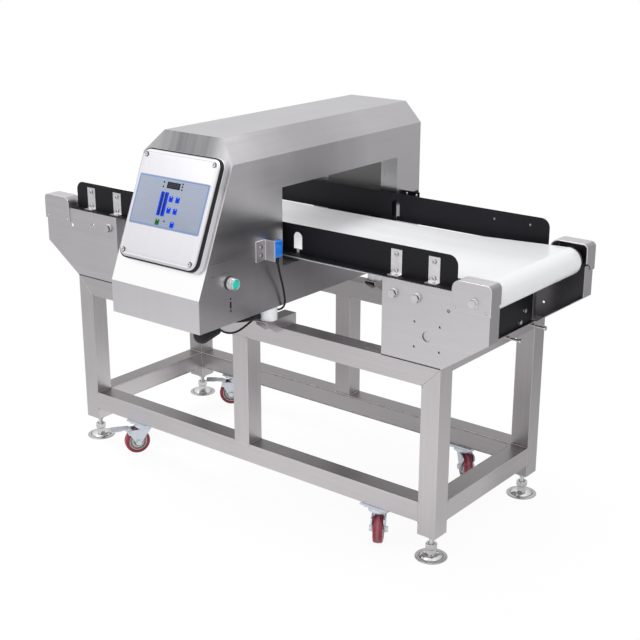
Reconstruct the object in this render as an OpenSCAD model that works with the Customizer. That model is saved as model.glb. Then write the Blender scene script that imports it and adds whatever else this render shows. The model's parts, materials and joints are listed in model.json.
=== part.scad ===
// Conveyor metal detector: a welded stand on levelling feet and castors carries a belt
// conveyor, and the belt runs through a search head with a sloped control panel.
// X runs along the belt, Y across it away from the panel, Z up. Millimetres.

/* [Stand] */
// Length over the legs
frame_l = 1195; // [1160:5:1230]
// Width over the legs
frame_w = 476; // [460:2:500]
// Side of the square tube
tube = 50; // [44:1:54]
// Wall of the square tube
tube_wall = 2; // [1.5:0.5:4]
// Height of the leg ends above the floor
leg_z = 62; // [58:1:80]
// Height of the top of the stand
rail_z = 484; // [470:1:520]
// Height of the underside of the lower rails
lower_z = 94; // [92:1:120]
// Thickness of the threaded plate in each leg end
leg_plate = 5; // [3:0.5:8]

/* [Levelling feet] */
// Diameter of the pad
pad_d = 78; // [60:1:90]
// Height of the pad's dome
pad_h = 20; // [14:1:24]
// Diameter of the stem
stem_d = 12; // [8:1:16]
// Length of stem above the leg end
stem_in = 40; // [30:1:60]
// Diameter of the collar on the pad
collar_d = 26; // [20:1:32]
// Height of the lock nut
nut_h = 10; // [6:1:13]
// Width of the lock nut across its flats
nut_af = 19; // [16:1:24]

/* [Castors] */
// Wheel diameter
wheel_d = 62; // [56:1:64]
// Tread width
wheel_w = 24; // [20:1:26]
// Depth of the polyurethane tread
tread = 9; // [6:1:12]
// Drop from the rail to the axle
castor_drop = 58; // [56:1:60]
// Trail of the wheel behind its swivel
trail = 22; // [18:1:26]
// Distance of the near left castor from its leg
castor_in1 = 182.5; // [160:0.5:200]
// Distance of the far left castor from its leg
castor_in2 = 152.5; // [148:0.5:190]
// Distance of the near right castor from its leg
castor_in3 = 150.5; // [148:0.5:190]
// Distance of the far right castor from its leg
castor_in4 = 178.5; // [160:0.5:200]
// Sheet of the forks
fork_t = 3; // [2:0.5:4]
// Reach of the brake pedal from the swivel
pedal_reach = 97; // [90:1:105]

/* [Conveyor] */
// Reach of the conveyor past the legs
overhang = 118.5; // [108:0.5:130]
// Sheet of the plates, guides and brackets
sheet = 2; // [1.5:0.5:3]
// Length of each side plate
plate_l = 281; // [270:1:300]
// Height of the side plates
plate_h = 186; // [184:1:200]
// Height of the knee where the underside of the plate starts to rise
knee_h = 82; // [60:1:100]
// Depth of the flanges on the side plates
flange = 40; // [36:1:42]
// Height of the seam under the roller caps
seam_h = 161; // [158:1:164]
// Length of the roller caps
cap_l = 96; // [92:1:100]
// Height of the roller caps over the seam
cap_h = 54; // [50:1:56]
// Inner corner radius of the roller caps
cap_r = 20; // [14:1:24]
// Outer corner radius of the roller caps
cap_nose_r = 13; // [10:1:18]
// Sheet of the roller caps, which lap over the side plates
cap_t = 3; // [2:0.5:3.5]
// Distance of the belt's edges from the outside of the side plates
belt_in = 52; // [50:1:58]
// Thickness of the belt
belt_t = 2; // [1:0.5:3]
// Height of the end rollers over the stand
roller_h = 171; // [170:1:173]
// Distance of the end rollers from the ends
roller_in = 40; // [38:1:44]
// Radius of the end rollers
roller_r = 31.7; // [30:0.1:32]
// Radius of the roller shafts
shaft_r = 8; // [6:1:10]
// Height of the belt on the bed over the stand
belt_h = 191; // [190:0.5:192]
// Run over which the belt rises to an end roller
rise_l = 276; // [266:2:320]
// Thickness of the bed
bed_t = 8; // [6:1:9]
// Distance of the return rollers from the inner ends of the side plates
return_in = 31; // [25:1:40]
// Height of the return rollers over the stand
return_h = 153; // [152:1:154]
// Radius of the return rollers
return_r = 12; // [10:0.5:13]

/* [Guides] */
// Gap from the far guide to the roller caps
guide_end = 11; // [6:1:20]
// Gap from the near guide to the roller caps
guide_end_near = 5; // [3:1:20]
// Height of the guides
guide_h = 72; // [64:1:84]
// Gap from the belt's edge to a guide
guide_gap = 23; // [20:1:25]
// Corner radius of the guides
guide_r = 23; // [12:1:30]
// Width of the arched light slots
slot_w = 26; // [20:1:30]
// Place of the slot in the near guide
slot_near_x = 168; // [160:1:176]
// Place of the slot in the far guide
slot_far_x = 156; // [152:1:168]

/* [Search head] */
// Length of the head along the belt
head_l = 282; // [260:2:300]
// Reach of the nose in front of the middle
nose_y = 525; // [515:1:540]
// Reach of the head behind the middle
back_y = 340; // [330:1:360]
// Height of the head
head_h = 419; // [400:1:440]
// Height of the upright band below the panel
nose_h = 79; // [70:1:90]
// Run of the slope across the belt
slope_run = 143; // [130:1:160]
// Width of the bevels on the top edges
bevel_w = 50; // [40:1:60]
// Drop of the bevels on the top edges
bevel_h = 52; // [40:1:60]
// Height of the tunnel floor over the head's underside
sill_h = 97; // [90:1:98]
// Height of the tunnel
tunnel_h = 191; // [170:1:200]
// Depth of the steel collars in the tunnel
collar_l = 50; // [30:1:70]
// Thickness of the coil former
former_t = 40; // [30:1:50]
// Height of the brackets under the head
bracket_h = 28; // [26:1:32]
// Width of the brackets under the head
bracket_w = 36; // [30:1:40]
// Height of the white bushes
bush_h = 32; // [30:1:34]
// Diameter of the white bushes
bush_d = 42; // [36:1:46]

/* [Control panel] */
// Width of the panel cover
cover_w = 244; // [220:1:250]
// Length of the panel cover
cover_l = 256; // [230:1:260]
// Distance of the cover from the fold of the nose
cover_s = 61; // [55:1:75]
// Depth of the cover
cover_h = 6; // [5:0.5:9]
// Thickness of the gasket
gasket_h = 15; // [10:0.5:18]
// Corner radius of the cover
cover_r = 22; // [12:1:24]
// Width of the keypad film
film_w = 222; // [200:1:226]
// Length of the keypad film
film_l = 118; // [100:1:126]
// Side of a key
key = 12; // [10:1:14]

/* [Hidden] */

$fn = 64;
// Running gap between pieces that turn or slide on each other
gap = 0.3;
// Overrun of every cut
over = 2;
// The model's origin lies under the middle of its box
shift_y = (nose_y - back_y) / 2;

// Stand
half_l = frame_l / 2;
half_w = frame_w / 2;
leg_x = half_l - tube / 2;
leg_y = half_w - tube / 2;
inner_w = half_w - tube;
tie_h = 20;
tie_t = 3;
tie_lift = 4;
tie_screw_shares = [0.298, 0.9415];
tie_screw_y = [for (s = tie_screw_shares) inner_w * s];
tie_screw_l = 32;
tie_screw_d = 6;

// Levelling feet
foot_collar_h = 14;
foot_rim = 3;
stem_hole_r = stem_d / 2 + gap;

// Castors: side of the stand, front or back, distance, heading of the trail
castor_plate_l = 76;
castor_plate_w = 62;
castor_plate_t = 4;
castor_bolt_x = 27;
castor_bolt_y = 18;
castor_bolt_d = 8;
castor_head_r = 24;
castor_head_h = 14;
kingpin_r = 6;
axle_z = lower_z - castor_drop;
axle_r = 4;
wheel_side = 2;
fork_gap = wheel_w / 2 + wheel_side;
fork_top_z = lower_z - castor_plate_t - castor_head_h - gap;
fork_top_r = 22;
boss_r = 9;
hub_r = wheel_d / 2 - tread;
hub_dish = 2.5;
pedal_in = 9;
pedal_rise = 30;
pedal_tip_rise = 43;
pedal_pivot = [trail + wheel_d / 2 - pedal_in, axle_z + pedal_rise];
pedal_pin_r = 3;
pedal_ear_r = 7;
pedal_t = 2.5;
lever_low = [[-4, 4], [8, 9]];
lever_high = [[2, 12], [-6, 8]];
lever_bend = [22, 19];
lever_in = 1;
pad_in = 24;
pin_half = fork_gap + fork_t + lever_in;
pedal_w = 34;
pedal_tip_z = axle_z + pedal_tip_rise;

// Conveyor
plate_z = rail_z;
end_x = half_l + overhang;
plate_x = end_x - plate_l;
plate_top = plate_z + plate_h;
seam_z = plate_z + seam_h;
knee_z = plate_z + knee_h;
cap_x = end_x - cap_l;
roller_x = end_x - roller_in;
roller_z = plate_z + roller_h;
panel_top_gap = 14;
belt_in_r = roller_r + gap;
belt_out_r = belt_in_r + belt_t;
belt_top = plate_z + belt_h;
panel_high = roller_z - belt_out_r - panel_top_gap + gap;
return_x = plate_x + return_in;
return_z = plate_z + return_h;
return_top = return_z + return_r + gap;
belt_half = half_w - belt_in;
belt_w = 2 * belt_half;
flat_l = roller_x - rise_l;
wrap_steps = 40;
roller_over = 9;
drum_half = belt_half + roller_over;
drum_wall = 3;
drum_end = 10;
return_shaft_r = 5;
return_wall = 2;
bearing_r = 28;
bearing_hub_r = 17;
bearing_gap = 2;
bearing_y = drum_half + bearing_gap;
bearing_t = 14;
plate_in = half_w - sheet;
bolt_d = 10;
lug_in = 93;
lug_x = plate_x + lug_in;
lug_l = 30;
lug_h = 42;
lug_drop = 10;
bed_tip = 30;
bed_in = 2;
cap_lap = 14;
cap_rivet_in = 9;
cap_arc_share = 1.3;
rivet_r = 3.5;
rivet_h = 1.6;
cable_hole_r = 4.5;
cable_hole_in = 104;
cable_hole_h = 140;
cable_hole = [end_x - cable_hole_in, cable_hole_h];
drive_hole_in = 158;
drive_hole_x = end_x - drive_hole_in;
drive_hole_h = 69;
drive_hole_r = 12.5;
pattern_x = 67;
pattern_z = 59;
pattern_r = 3;
panel_in = 9.5;
panel_x = half_l - panel_in;
panel_foot = 30;
panel_bolt = [[142, 41], [121, 16]];
strap_w = 14;

// Guides
guide_y = belt_half + guide_gap;
guide_foot = 22;
slot_top = 54;
slot_low = 12;
notch_w = 10;
clip_in = [154, 53];
guide_l = cap_x - guide_end;
clip_x = [for (d = clip_in) guide_l - d];
clip_w = 30;
clip_h = 59;
clip_foot = 16;
clip_screw_h = 48;
clip_hole_h = 10;

// Search head
head_z = rail_z + bracket_h + bush_h;
head_top = head_z + head_h;
fold_z = head_z + nose_h;
slope_y = slope_run - nose_y;
slope_a = atan2(head_top - fold_z, slope_run);
slope_len = norm([slope_run, head_top - fold_z]);
tunnel_z = head_z + sill_h;
tunnel_top = tunnel_z + tunnel_h;
tunnel_side = 2;
tunnel_y = guide_y + sheet + guide_foot + tunnel_side;
half_head = head_l / 2;
window_w = 210;
window_l = 215;
coil_w = 12;
coil_h = 8;
coil_x = [-55, 0, 55];
bracket_x = half_head - bracket_w / 2;
bracket_out = 57;
bracket_in = 45;
bush_out = 30;
bush_in = 18;
bracket_lip = 9;
bracket_rake = 34;
bracket_skirt = 5;
bracket_over = 2;
bush_screw_r = 4;

// Control panel
cover_mid = cover_s + cover_l / 2;
cover_screw_in = [15, 14];
cover_screw_x = cover_w / 2 - cover_screw_in[0];
cover_screw_s = cover_l / 2 - cover_screw_in[1];
film_up = 138;
film_mid = cover_s + film_up;
film_t = 0.8;
film_r = 4;
key_t = 0.8;
key_r = 2;
key_share = 1.1;
window_x = 46;
window_s = 13;
window_up = 42.5;
window_mid = film_mid + window_up;
column_x = [-28, -15];
column_w = 11;
column_ends = [-31, 25];
column_s = [for (e = column_ends) film_mid + e];
key_at = [[0, 11], [21, 11], [1, -15.5], [21, -16], [21.6, -46.5], [-25.3, -46.2]];
board_w = 170;
board_l = 190;
board_t = 1.6;
post_r = 4;
front_h = gasket_h + cover_h;
gasket_out = 3;
board_h = 6;
block = [60, 90, 24];
drum = [9, 26];

// Right face of the head
button_y = -424;
button_h = 99;
button_r = 11;
ring_r = 16;
bezel_r = 14.5;
bezel_l = 20;
bezel_lip = 2;
ring_l = 4;
cap_reach = 24;
cap_sink = 7;
cap_edge = 1;
barrel_l = 40;
vent_y = -421;
vent_h = [31, 37, 53, 60];
vent_r = 2.5;
sensor_y = -298;
sensor_h = 126;
sensor_flange = 35;
sensor_arm = 31;
sensor_tall = 50;
sensor_size = [13, 28, 40];
sensor_eye = 2;
sensor_screw_shares = [0.3, 0.7];
reflector_screw_shares = [0.35, 0.85];
pan_share = 0.9;
pan_d = tie_screw_d * pan_share;
pan_rim_share = 0.35;
pan_rise_share = 0.3;
pan_top_share = 0.7;
rivet_top_share = 0.6;
washer_share = 0.16;
hex_af_share = 1.7;
hex_h_share = 0.65;
sensor_x = 158;
beam_x = 163;
beam_h = 154;
reflector_y = 262;
reflector_l = 74;
reflector_h = 155;
reflector_tall = 28;
reflector_arm = 34;
reflector_r = 11;

// Cable boot and cable
boot_x = 115;
boot_front = -511;
boot_back = -441;
boot_r = 20;
boot_small = 12;
boot_drop = 14;
cable_d = 5;
cable_sides = 8;
cable_step = 14;
// Route of the sensor cable, chosen by hand, from the sensor to the boot: X, Y and Z, and
// the share of the stand's half width by which the point lies nearer than that Y
cable_table = [
    [164.5, -282, 678, 0], [164.5, -282, 668, 0], [163.5, -253.2, 650, 0.1],
    [159.5, -147, 626, 0.5], [155, -15, 600, 1], [151.5, -5, 574, 1], [149, 0, 552, 1],
    [143, 1, 539, 1], [132, 1, 531, 1], [118, 1, 527, 1], [104, -3, 524, 1], [96, -14, 521, 1],
    [92, -105.4, 516, 0.7], [93, -226.6, 508, 0.3], [96, -326, 502, 0], [101, -355, 500, 0],
    [106, -384, 504, 0], [110, -410, 514, 0], [113, -428, 525, 0], [115, -437, 530, 0],
    [115, -441, 530, 0]
];
cable_route = [for (p = cable_table) [p.x, p.y - p[3] * half_w, p.z]];

// Frames and helpers
module place() {
    translate([0, shift_y, 0]) children();
}

// Turns a profile drawn in X and Z into a bar of length l along Y, centred
module along_y(l) {
    rotate([90, 0, 0]) linear_extrude(height = l, center = true) children();
}

// Turns a profile drawn in Y and Z into a bar of length l along X, centred
module along_x(l) {
    rotate([90, 0, 90]) linear_extrude(height = l, center = true) children();
}

// A round bar or disc along Y, from y up to y + l
module rod_y(r, y, l) {
    translate([0, y, 0]) rotate([-90, 0, 0]) cylinder(r = r, h = l);
}

// A copy of its children on each side of the belt
module both_sides() {
    children();
    mirror([0, 1, 0]) children();
}

// A copy of its children at each end of the conveyor
module both_ends() {
    children();
    mirror([1, 0, 0]) children();
}

// Local axes on the sloped face: X across, Y up the slope from the fold, Z out of it
module on_slope() {
    translate([0, -nose_y, fold_z]) rotate([slope_a, 0, 0]) children();
}

// Corners of a closed outline, anticlockwise, moved inward by d
function inset(p, d) = let (n = len(p)) [
    for (i = [0 : n - 1])
    let (
        a = p[i] - p[(i + n - 1) % n],
        b = p[(i + 1) % n] - p[i],
        na = [-a.y, a.x] / norm(a),
        nb = [-b.y, b.x] / norm(b)
    )
    p[i] + d * (na + nb) / (1 + na * nb)
];

module rounded(w, l, r) {
    square([w - 2 * r, l], center = true);
    square([w, l - 2 * r], center = true);
    for (x = [-1, 1], y = [-1, 1])
        translate([x * (w / 2 - r), y * (l / 2 - r)]) circle(r = r);
}

// Square tube along Y with length l
module tube_y(l) {
    along_y(l) difference() {
        square(tube, center = true);
        square(tube - 2 * tube_wall, center = true);
    }
}

module tube_x(l) {
    rotate([0, 0, 90]) tube_y(l);
}

module tube_z(l) {
    rotate([90, 0, 0]) tube_y(l);
}

module hex_head(af, h) {
    cylinder(r = af / sqrt(3), h = h, $fn = 6);
}

// Bolt with washer: the seat of the washer at zero, the shank below it
module bolt(d, shank) {
    washer = d * washer_share;
    cylinder(r = d, h = washer);
    translate([0, 0, washer]) hex_head(d * hex_af_share, d * hex_h_share);
    if (shank > 0) translate([0, 0, -shank]) cylinder(r = d / 2 - gap / 2, h = shank);
}

// Pan head screw with a hexagon recess, seat at zero
module pan_screw(d) {
    difference() {
        union() {
            cylinder(r = d, h = d * pan_rim_share);
            translate([0, 0, d * pan_rim_share])
                cylinder(r1 = d, r2 = d * pan_top_share, h = d * pan_rise_share);
        }
        translate([0, 0, d * pan_rise_share]) hex_head(d * pan_top_share, d);
    }
}

// Stand
module leg(x, y) {
    foot = [[leg_x - tube / 2, leg_z], [half_l, leg_z], [half_l, rail_z],
        [leg_x - tube / 2, rail_z - tube]];
    color("silver") place() mirror([x < 0 ? 1 : 0, 0, 0]) translate([0, y * leg_y, 0])
    difference() {
        union() {
            intersection() {
                translate([leg_x, 0, (rail_z + leg_z) / 2]) tube_z(rail_z - leg_z);
                along_y(tube) polygon(foot);
            }
            translate([leg_x - tube / 2 + tube_wall, -tube / 2 + tube_wall, leg_z])
                cube([tube - 2 * tube_wall, tube - 2 * tube_wall, leg_plate]);
        }
        translate([leg_x, 0, leg_z - over]) cylinder(r = stem_hole_r, h = leg_plate + 2 * over);
    }
}

module top_rail(y) {
    rail = [[-half_l + tube, rail_z - tube], [half_l - tube, rail_z - tube],
        [half_l, rail_z], [-half_l, rail_z]];
    color("silver") place() translate([0, y * leg_y, 0]) intersection() {
        translate([0, 0, rail_z - tube / 2]) tube_x(frame_l);
        along_y(tube) polygon(rail);
    }
}

module lower_rails() {
    color("silver") place() both_sides()
        translate([0, leg_y, lower_z + tube / 2]) tube_x(frame_l - 2 * tube);
}

module lower_cross_rails() {
    color("silver") place() both_ends()
        translate([leg_x, 0, lower_z + tube / 2]) tube_y(frame_w - 2 * tube);
}

module mid_posts() {
    post_l = rail_z - lower_z - 2 * tube;
    color("silver") place() both_sides()
        translate([0, leg_y, lower_z + tube + post_l / 2]) tube_z(post_l);
}

module end_ties() {
    color("silver") place() both_ends()
    difference() {
        translate([half_l - tie_h, -inner_w, rail_z + tie_lift - tie_h])
            cube([tie_h, 2 * inner_w, tie_h]);
        translate([half_l - tie_h - over, -inner_w - over, rail_z + tie_lift - tie_h - over])
            cube([tie_h - tie_t + over, 2 * inner_w + 2 * over, tie_h - tie_t + over]);
        for (y = tie_screw_y)
            translate([half_l - tie_h, y, rail_z + tie_lift - tie_h / 2])
                rotate([0, 90, 0]) cylinder(r = tie_screw_d / 2 + gap, h = tie_h + over);
    }
}

// Channel open at the end toward the panel, closed and bent down at the other
module head_bracket(open_y, closed_y, rail_y) {
    z = rail_z + bracket_h;
    side = [[open_y, z], [open_y, z - bracket_lip], [open_y + bracket_rake, rail_z - bracket_skirt],
        [rail_y, rail_z - bracket_skirt], [rail_y, rail_z], [closed_y, rail_z], [closed_y, z]];
    shell = [[open_y, z], [closed_y, z], [closed_y, rail_z], [closed_y - sheet, rail_z],
        [closed_y - sheet, z - sheet], [open_y, z - sheet]];
    both_ends() translate([bracket_x, 0, 0]) {
        along_x(bracket_w) polygon(shell);
        for (s = [-1, 1])
            translate([s * (bracket_w - sheet) / 2, 0, 0]) along_x(sheet) polygon(side);
    }
}

near_rail_y = -half_w;
far_rail_y = inner_w;
near_bush_y = -half_w - bush_out;
far_bush_y = inner_w - bush_in;

module bush_holes(r, z, h) {
    for (x = [-1, 1], y = [near_bush_y, far_bush_y])
        translate([x * bracket_x, y, z]) cylinder(r = r, h = h);
}

module head_brackets() {
    color("silver") place() difference() {
        union() {
            head_bracket(near_rail_y - bracket_out, near_rail_y + tube + bracket_over, near_rail_y);
            head_bracket(far_rail_y - bracket_in, far_rail_y + tube, far_rail_y);
        }
        bush_holes(bush_screw_r, rail_z, bracket_h + over);
    }
}

module head_bushes() {
    color("white") place() difference() {
        bush_holes(bush_d / 2, rail_z + bracket_h, bush_h);
        bush_holes(bush_screw_r, rail_z, bracket_h + bush_h + over);
    }
}

// Levelling foot: domed pad, collar and stem
module foot(x, y) {
    color("gainsboro") place() translate([x * leg_x, y * leg_y, 0]) {
        rotate_extrude() {
            square([pad_d / 2, foot_rim]);
            intersection() {
                translate([0, foot_rim]) scale([1, (pad_h - foot_rim) / (pad_d / 2)]) circle(r = pad_d / 2);
                translate([0, foot_rim]) square([pad_d / 2, pad_h]);
            }
        }
        cylinder(r = collar_d / 2, h = pad_h + foot_collar_h);
        cylinder(r = stem_d / 2, h = leg_z + stem_in);
    }
}

// Castors
module at_castor(x, y, dist, heading) {
    place() translate([x * dist, y * leg_y, 0]) rotate([0, 0, heading]) children();
}

near_left_castor = [-1, -1, leg_x - castor_in1, -118];
far_left_castor = [-1, 1, leg_x - castor_in2, -141];
near_right_castor = [1, -1, leg_x - castor_in3, -60];
far_right_castor = [1, 1, leg_x - castor_in4, -43];
castors = [near_left_castor, far_left_castor, near_right_castor, far_right_castor];

module castor_plate() {
    plate_low = lower_z - castor_plate_t;
    translate([-castor_plate_l / 2, -castor_plate_w / 2, plate_low])
        cube([castor_plate_l, castor_plate_w, castor_plate_t]);
    translate([0, 0, plate_low - castor_head_h])
        cylinder(r1 = castor_head_r * 0.8, r2 = castor_head_r, h = castor_head_h);
    translate([0, 0, fork_top_z - fork_t - gap - rivet_h]) {
        cylinder(r = kingpin_r, h = castor_head_h);
        cylinder(r = kingpin_r * 1.5, h = rivet_h);
    }
    for (sx = [-1, 1], sy = [-1, 1])
        translate([sx * castor_bolt_x, sy * castor_bolt_y, plate_low])
            mirror([0, 0, 1]) bolt(castor_bolt_d, 0);
}

module castor_plates() {
    color("lightsteelblue") for (c = castors)
        place() translate([c[0] * c[2], c[1] * leg_y, 0]) castor_plate();
}

// Side view of one cheek of the fork, swivel axis at zero
module cheek() {
    polygon([[-fork_top_r * 0.7, fork_top_z], [pedal_pivot.x, pedal_pivot.y + pedal_ear_r],
        [pedal_pivot.x, pedal_pivot.y - pedal_ear_r], [trail + boss_r, axle_z],
        [trail - boss_r, axle_z], [-fork_top_r * 0.7, fork_top_z - fork_t]]);
    translate([trail, axle_z]) circle(r = boss_r);
    translate(pedal_pivot) circle(r = pedal_ear_r);
}

module castor_fork(c) {
    cheek_y = fork_gap + fork_t / 2;
    color("lightsteelblue") at_castor(c[0], c[1], c[2], c[3]) {
        difference() {
            translate([0, 0, fork_top_z - fork_t]) cylinder(r = fork_top_r, h = fork_t);
            translate([0, 0, fork_top_z - fork_t - over])
                cylinder(r = kingpin_r + gap, h = fork_t + 2 * over);
        }
        for (s = [-1, 1])
            difference() {
                translate([0, s * cheek_y, 0]) along_y(fork_t) cheek();
                translate([pedal_pivot.x, 0, pedal_pivot.y])
                    rod_y(pedal_pin_r + gap, -cheek_y * 2, cheek_y * 4);
            }
        translate([trail, 0, axle_z]) {
            rod_y(axle_r, -cheek_y, 2 * cheek_y);
            for (s = [0, 1]) mirror([0, s, 0]) translate([0, fork_gap + fork_t, 0])
                rotate([-90, 0, 0]) hex_head(axle_r * 3.2, axle_r * 1.4);
        }
    }
}

module castor_wheel(c) {
    r = wheel_d / 2;
    half = wheel_w / 2;
    color("crimson") at_castor(c[0], c[1], c[2], c[3]) translate([trail, 0, axle_z])
    rotate([90, 0, 0]) rotate_extrude() difference() {
        union() {
            translate([axle_r + gap, -half]) square([r - tread / 3 - axle_r - gap, wheel_w]);
            translate([axle_r + gap, -half + tread / 3])
                square([r - axle_r - gap, wheel_w - 2 * tread / 3]);
            for (s = [-1, 1])
                translate([r - tread / 3, s * (half - tread / 3)]) circle(r = tread / 3);
            translate([axle_r + gap, -fork_gap + gap])
                square([boss_r - axle_r, 2 * fork_gap - 2 * gap]);
        }
        for (s = [-1, 1])
            translate([(boss_r + hub_r) / 2 + gap, s * half])
                square([hub_r - boss_r - fork_t, 2 * hub_dish], center = true);
    }
}

// Brake pedal: a pressed lever whose lobe nears the tread as the tip goes down
module brake_pedal(c) {
    p = pedal_pivot;
    lever = concat([for (q = lever_low) p + q], [[p.x + lever_bend[0], pedal_tip_z - pedal_t],
        [pedal_reach, pedal_tip_z - pedal_t], [pedal_reach, pedal_tip_z],
        [p.x + lever_bend[1], pedal_tip_z]], [for (q = lever_high) p + q]);
    color("lightsteelblue") at_castor(c[0], c[1], c[2], c[3]) {
        difference() {
            along_y(2 * fork_gap - 2 * gap) {
                polygon(lever);
                translate(p) circle(r = pedal_ear_r - lever_in);
            }
            translate([trail, 0, axle_z]) rod_y(wheel_d / 2 + lever_in, -pedal_w, 2 * pedal_w);
        }
        translate([p.x + pad_in, -pedal_w / 2, pedal_tip_z - pedal_t])
            cube([pedal_reach - p.x - pad_in, pedal_w, pedal_t]);
        translate([p.x, 0, p.y]) rod_y(pedal_pin_r, -pin_half, 2 * pin_half);
    }
}

// Side plates: folded trays with the rim turned toward the belt
function plate_outline(t) = inset([
    [plate_x, plate_z], [half_l, plate_z], [end_x, knee_z], [end_x, seam_z],
    [cap_x, seam_z], [cap_x, plate_top], [plate_x, plate_top]
], t);

module side_plate(x, y, pattern) {
    color("silver") place() mirror([x < 0 ? 1 : 0, 0, 0]) mirror([0, y < 0 ? 1 : 0, 0]) {
        tray(pattern);
        // strap from the lower rim up to the edge of the cross panel
        translate([panel_x, half_w - flange - strap_w, plate_z + tie_lift + gap])
            cube([sheet, strap_w + sheet, panel_high - plate_z - tie_lift - gap]);
        translate([panel_x, half_w - flange, plate_z]) cube([sheet, sheet, tie_lift + over]);
    }
}

module tray(pattern) {
    difference() {
        translate([0, half_w - flange / 2, 0]) along_y(flange) polygon(plate_outline(0));
        translate([0, half_w - flange / 2 - sheet, 0]) along_y(flange) polygon(plate_outline(sheet));
        // no rim under the roller cap
        translate([cap_x - sheet, half_w - flange - over, seam_z - sheet - over / 2])
            cube([cap_l, flange + over - sheet, over * 2]);
        // narrower rim under the guide
        translate([plate_x + sheet, half_w - flange - over, plate_top - sheet - over / 2])
            cube([cap_x - plate_x, flange / 2 + over, sheet + over]);
        plate_holes(pattern);
    }
}

module plate_holes(pattern) {
    at = [[return_x, return_z], [lug_x, return_z], [cable_hole.x, plate_z + cable_hole.y]];
    r = [bolt_d / 2, bolt_d / 2, cable_hole_r];
    for (i = [0 : 2])
        translate([at[i].x, 0, at[i].y]) rod_y(r[i], plate_in - over, sheet + 2 * over);
    if (pattern) translate([drive_hole_x, 0, plate_z + drive_hole_h]) {
        rod_y(drive_hole_r, plate_in - over, sheet + 2 * over);
        for (sx = [-1, 1], sz = [-1, 1])
            translate([sx * pattern_x / 2, 0, sz * pattern_z / 2])
                rod_y(pattern_r, plate_in - over, sheet + 2 * over);
    }
}

// Roller caps: hoods over the bearings, open toward the belt, lapped over the side plates
module cap_profile(d) {
    low = seam_z - cap_lap - (d > 0 ? over : 0);
    top = seam_z + cap_h - d;
    right = end_x + cap_t - d;
    in_r = cap_r - d;
    out_r = cap_nose_r - d;
    translate([cap_x + d, low]) square([right - cap_x - d, top - in_r - low]);
    translate([cap_x + d + in_r, low]) square([right - cap_x - d - in_r, top - out_r - low]);
    translate([cap_x + d + in_r, low]) square([right - cap_x - d - in_r - out_r, top - low]);
    translate([cap_x + d + in_r, top - in_r]) circle(r = in_r);
    translate([right - out_r, top - out_r]) circle(r = out_r);
}

module roller_cap(bolted) {
    difference() {
        translate([0, half_w - (flange - cap_t) / 2, 0]) along_y(flange + cap_t) cap_profile(0);
        translate([0, half_w - (flange + over) / 2, 0]) along_y(flange + over) cap_profile(cap_t);
        // the upper part of the side plate stands inside the lap
        translate([cap_x - over, half_w - flange - over, seam_z - cap_lap - over])
            cube([cap_t + 2 * over, flange + over, cap_lap + over]);
        if (bolted) translate([roller_x, 0, roller_z]) rod_y(bolt_d / 2, half_w - over, cap_t + 2 * over);
        translate([end_x, half_w - flange, seam_z - cap_r])
            rotate([0, 90, 0]) cylinder(r = cap_r * cap_arc_share, h = 4 * cap_t, center = true);
    }
}

module roller_caps() {
    color("lightgray") place() both_sides() {
        roller_cap(true);
        mirror([1, 0, 0]) roller_cap(false);
    }
}

// Belt loop: round the end rollers, over the bed and over the two return rollers. The
// runs leave the wraps at their tangents, and each wrap is an arc of short steps.
function belt_loop(t) = let (
    r = belt_out_r - t,
    top = [flat_l, belt_top - t],
    low = [return_x, return_top + t],
    c = [roller_x, roller_z],
    dt = c - top,
    at = asin(r / norm(dt)) + atan2(dt.y, dt.x),
    dl = c - low,
    al = asin(r / norm(dl)) - atan2(dl.y, dl.x),
    turn = 180 + at + al
) concat([top], [
    for (i = [0 : wrap_steps])
    let (a = 90 + at - turn * i / wrap_steps)
    c + r * [cos(a), sin(a)]
], [low]);

function mirrored(p) = [for (i = [len(p) - 1 : -1 : 0]) [-p[i].x, p[i].y]];

module loop_profile(t) {
    polygon(concat(mirrored(belt_loop(t)), belt_loop(t)));
}

module conveyor_belt() {
    color("whitesmoke") place() along_y(belt_w) difference() {
        loop_profile(0);
        loop_profile(belt_t);
    }
}

// Slider bed: flat through the head, rising to the end rollers, on four lugs
module slider_bed() {
    bed_top = belt_top - belt_t;
    tip_x = roller_x - roller_r - bed_tip / 3;
    rise = (roller_z + belt_in_r - bed_top) * (tip_x - flat_l) / (roller_x - flat_l);
    half = [[0, bed_top - bed_t], [flat_l, bed_top - bed_t], [tip_x, bed_top + rise - bed_t],
        [tip_x, bed_top + rise], [flat_l, bed_top], [0, bed_top]];
    shelf_z = bed_top - bed_t - lug_drop;
    color("gainsboro") place() {
        along_y(belt_w - 2 * bed_in) union() {
            polygon(half);
            mirror([1, 0]) polygon(half);
        }
        both_ends() both_sides() {
            translate([lug_x - lug_l / 2, belt_half - bed_in - lug_drop, shelf_z])
                cube([lug_l, plate_in - belt_half + bed_in + lug_drop, bed_t / 2]);
            translate([lug_x - lug_l / 2, belt_half - bed_in - lug_drop, shelf_z])
                cube([lug_l, lug_drop, lug_drop + bed_t]);
            difference() {
                translate([lug_x - lug_l / 2, plate_in - bed_t / 2, shelf_z + bed_t / 2 - lug_h])
                    cube([lug_l, bed_t / 2, lug_h]);
                translate([lug_x, 0, return_z]) rod_y(bolt_d / 2, plate_in - bed_t, bed_t + over);
            }
        }
    }
}

// Hollow roller with end discs that run on the shaft
module roller(r, half, wall, bore, disc) {
    rotate([90, 0, 0]) rotate_extrude() {
        translate([r - wall, -half]) square([wall, 2 * half]);
        for (s = [-1, 1])
            translate([bore, s * (half - disc / 2) - disc / 2]) square([r - bore, disc]);
    }
}

module end_roller(x) {
    color("silver") place() translate([x * roller_x, 0, roller_z])
        roller(roller_r, drum_half, drum_wall, shaft_r + gap, drum_end);
}

module return_roller(x) {
    color("silver") place() translate([x * return_x, 0, return_z])
        roller(return_r, drum_half, return_wall, return_shaft_r + gap, drum_end);
}

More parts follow.
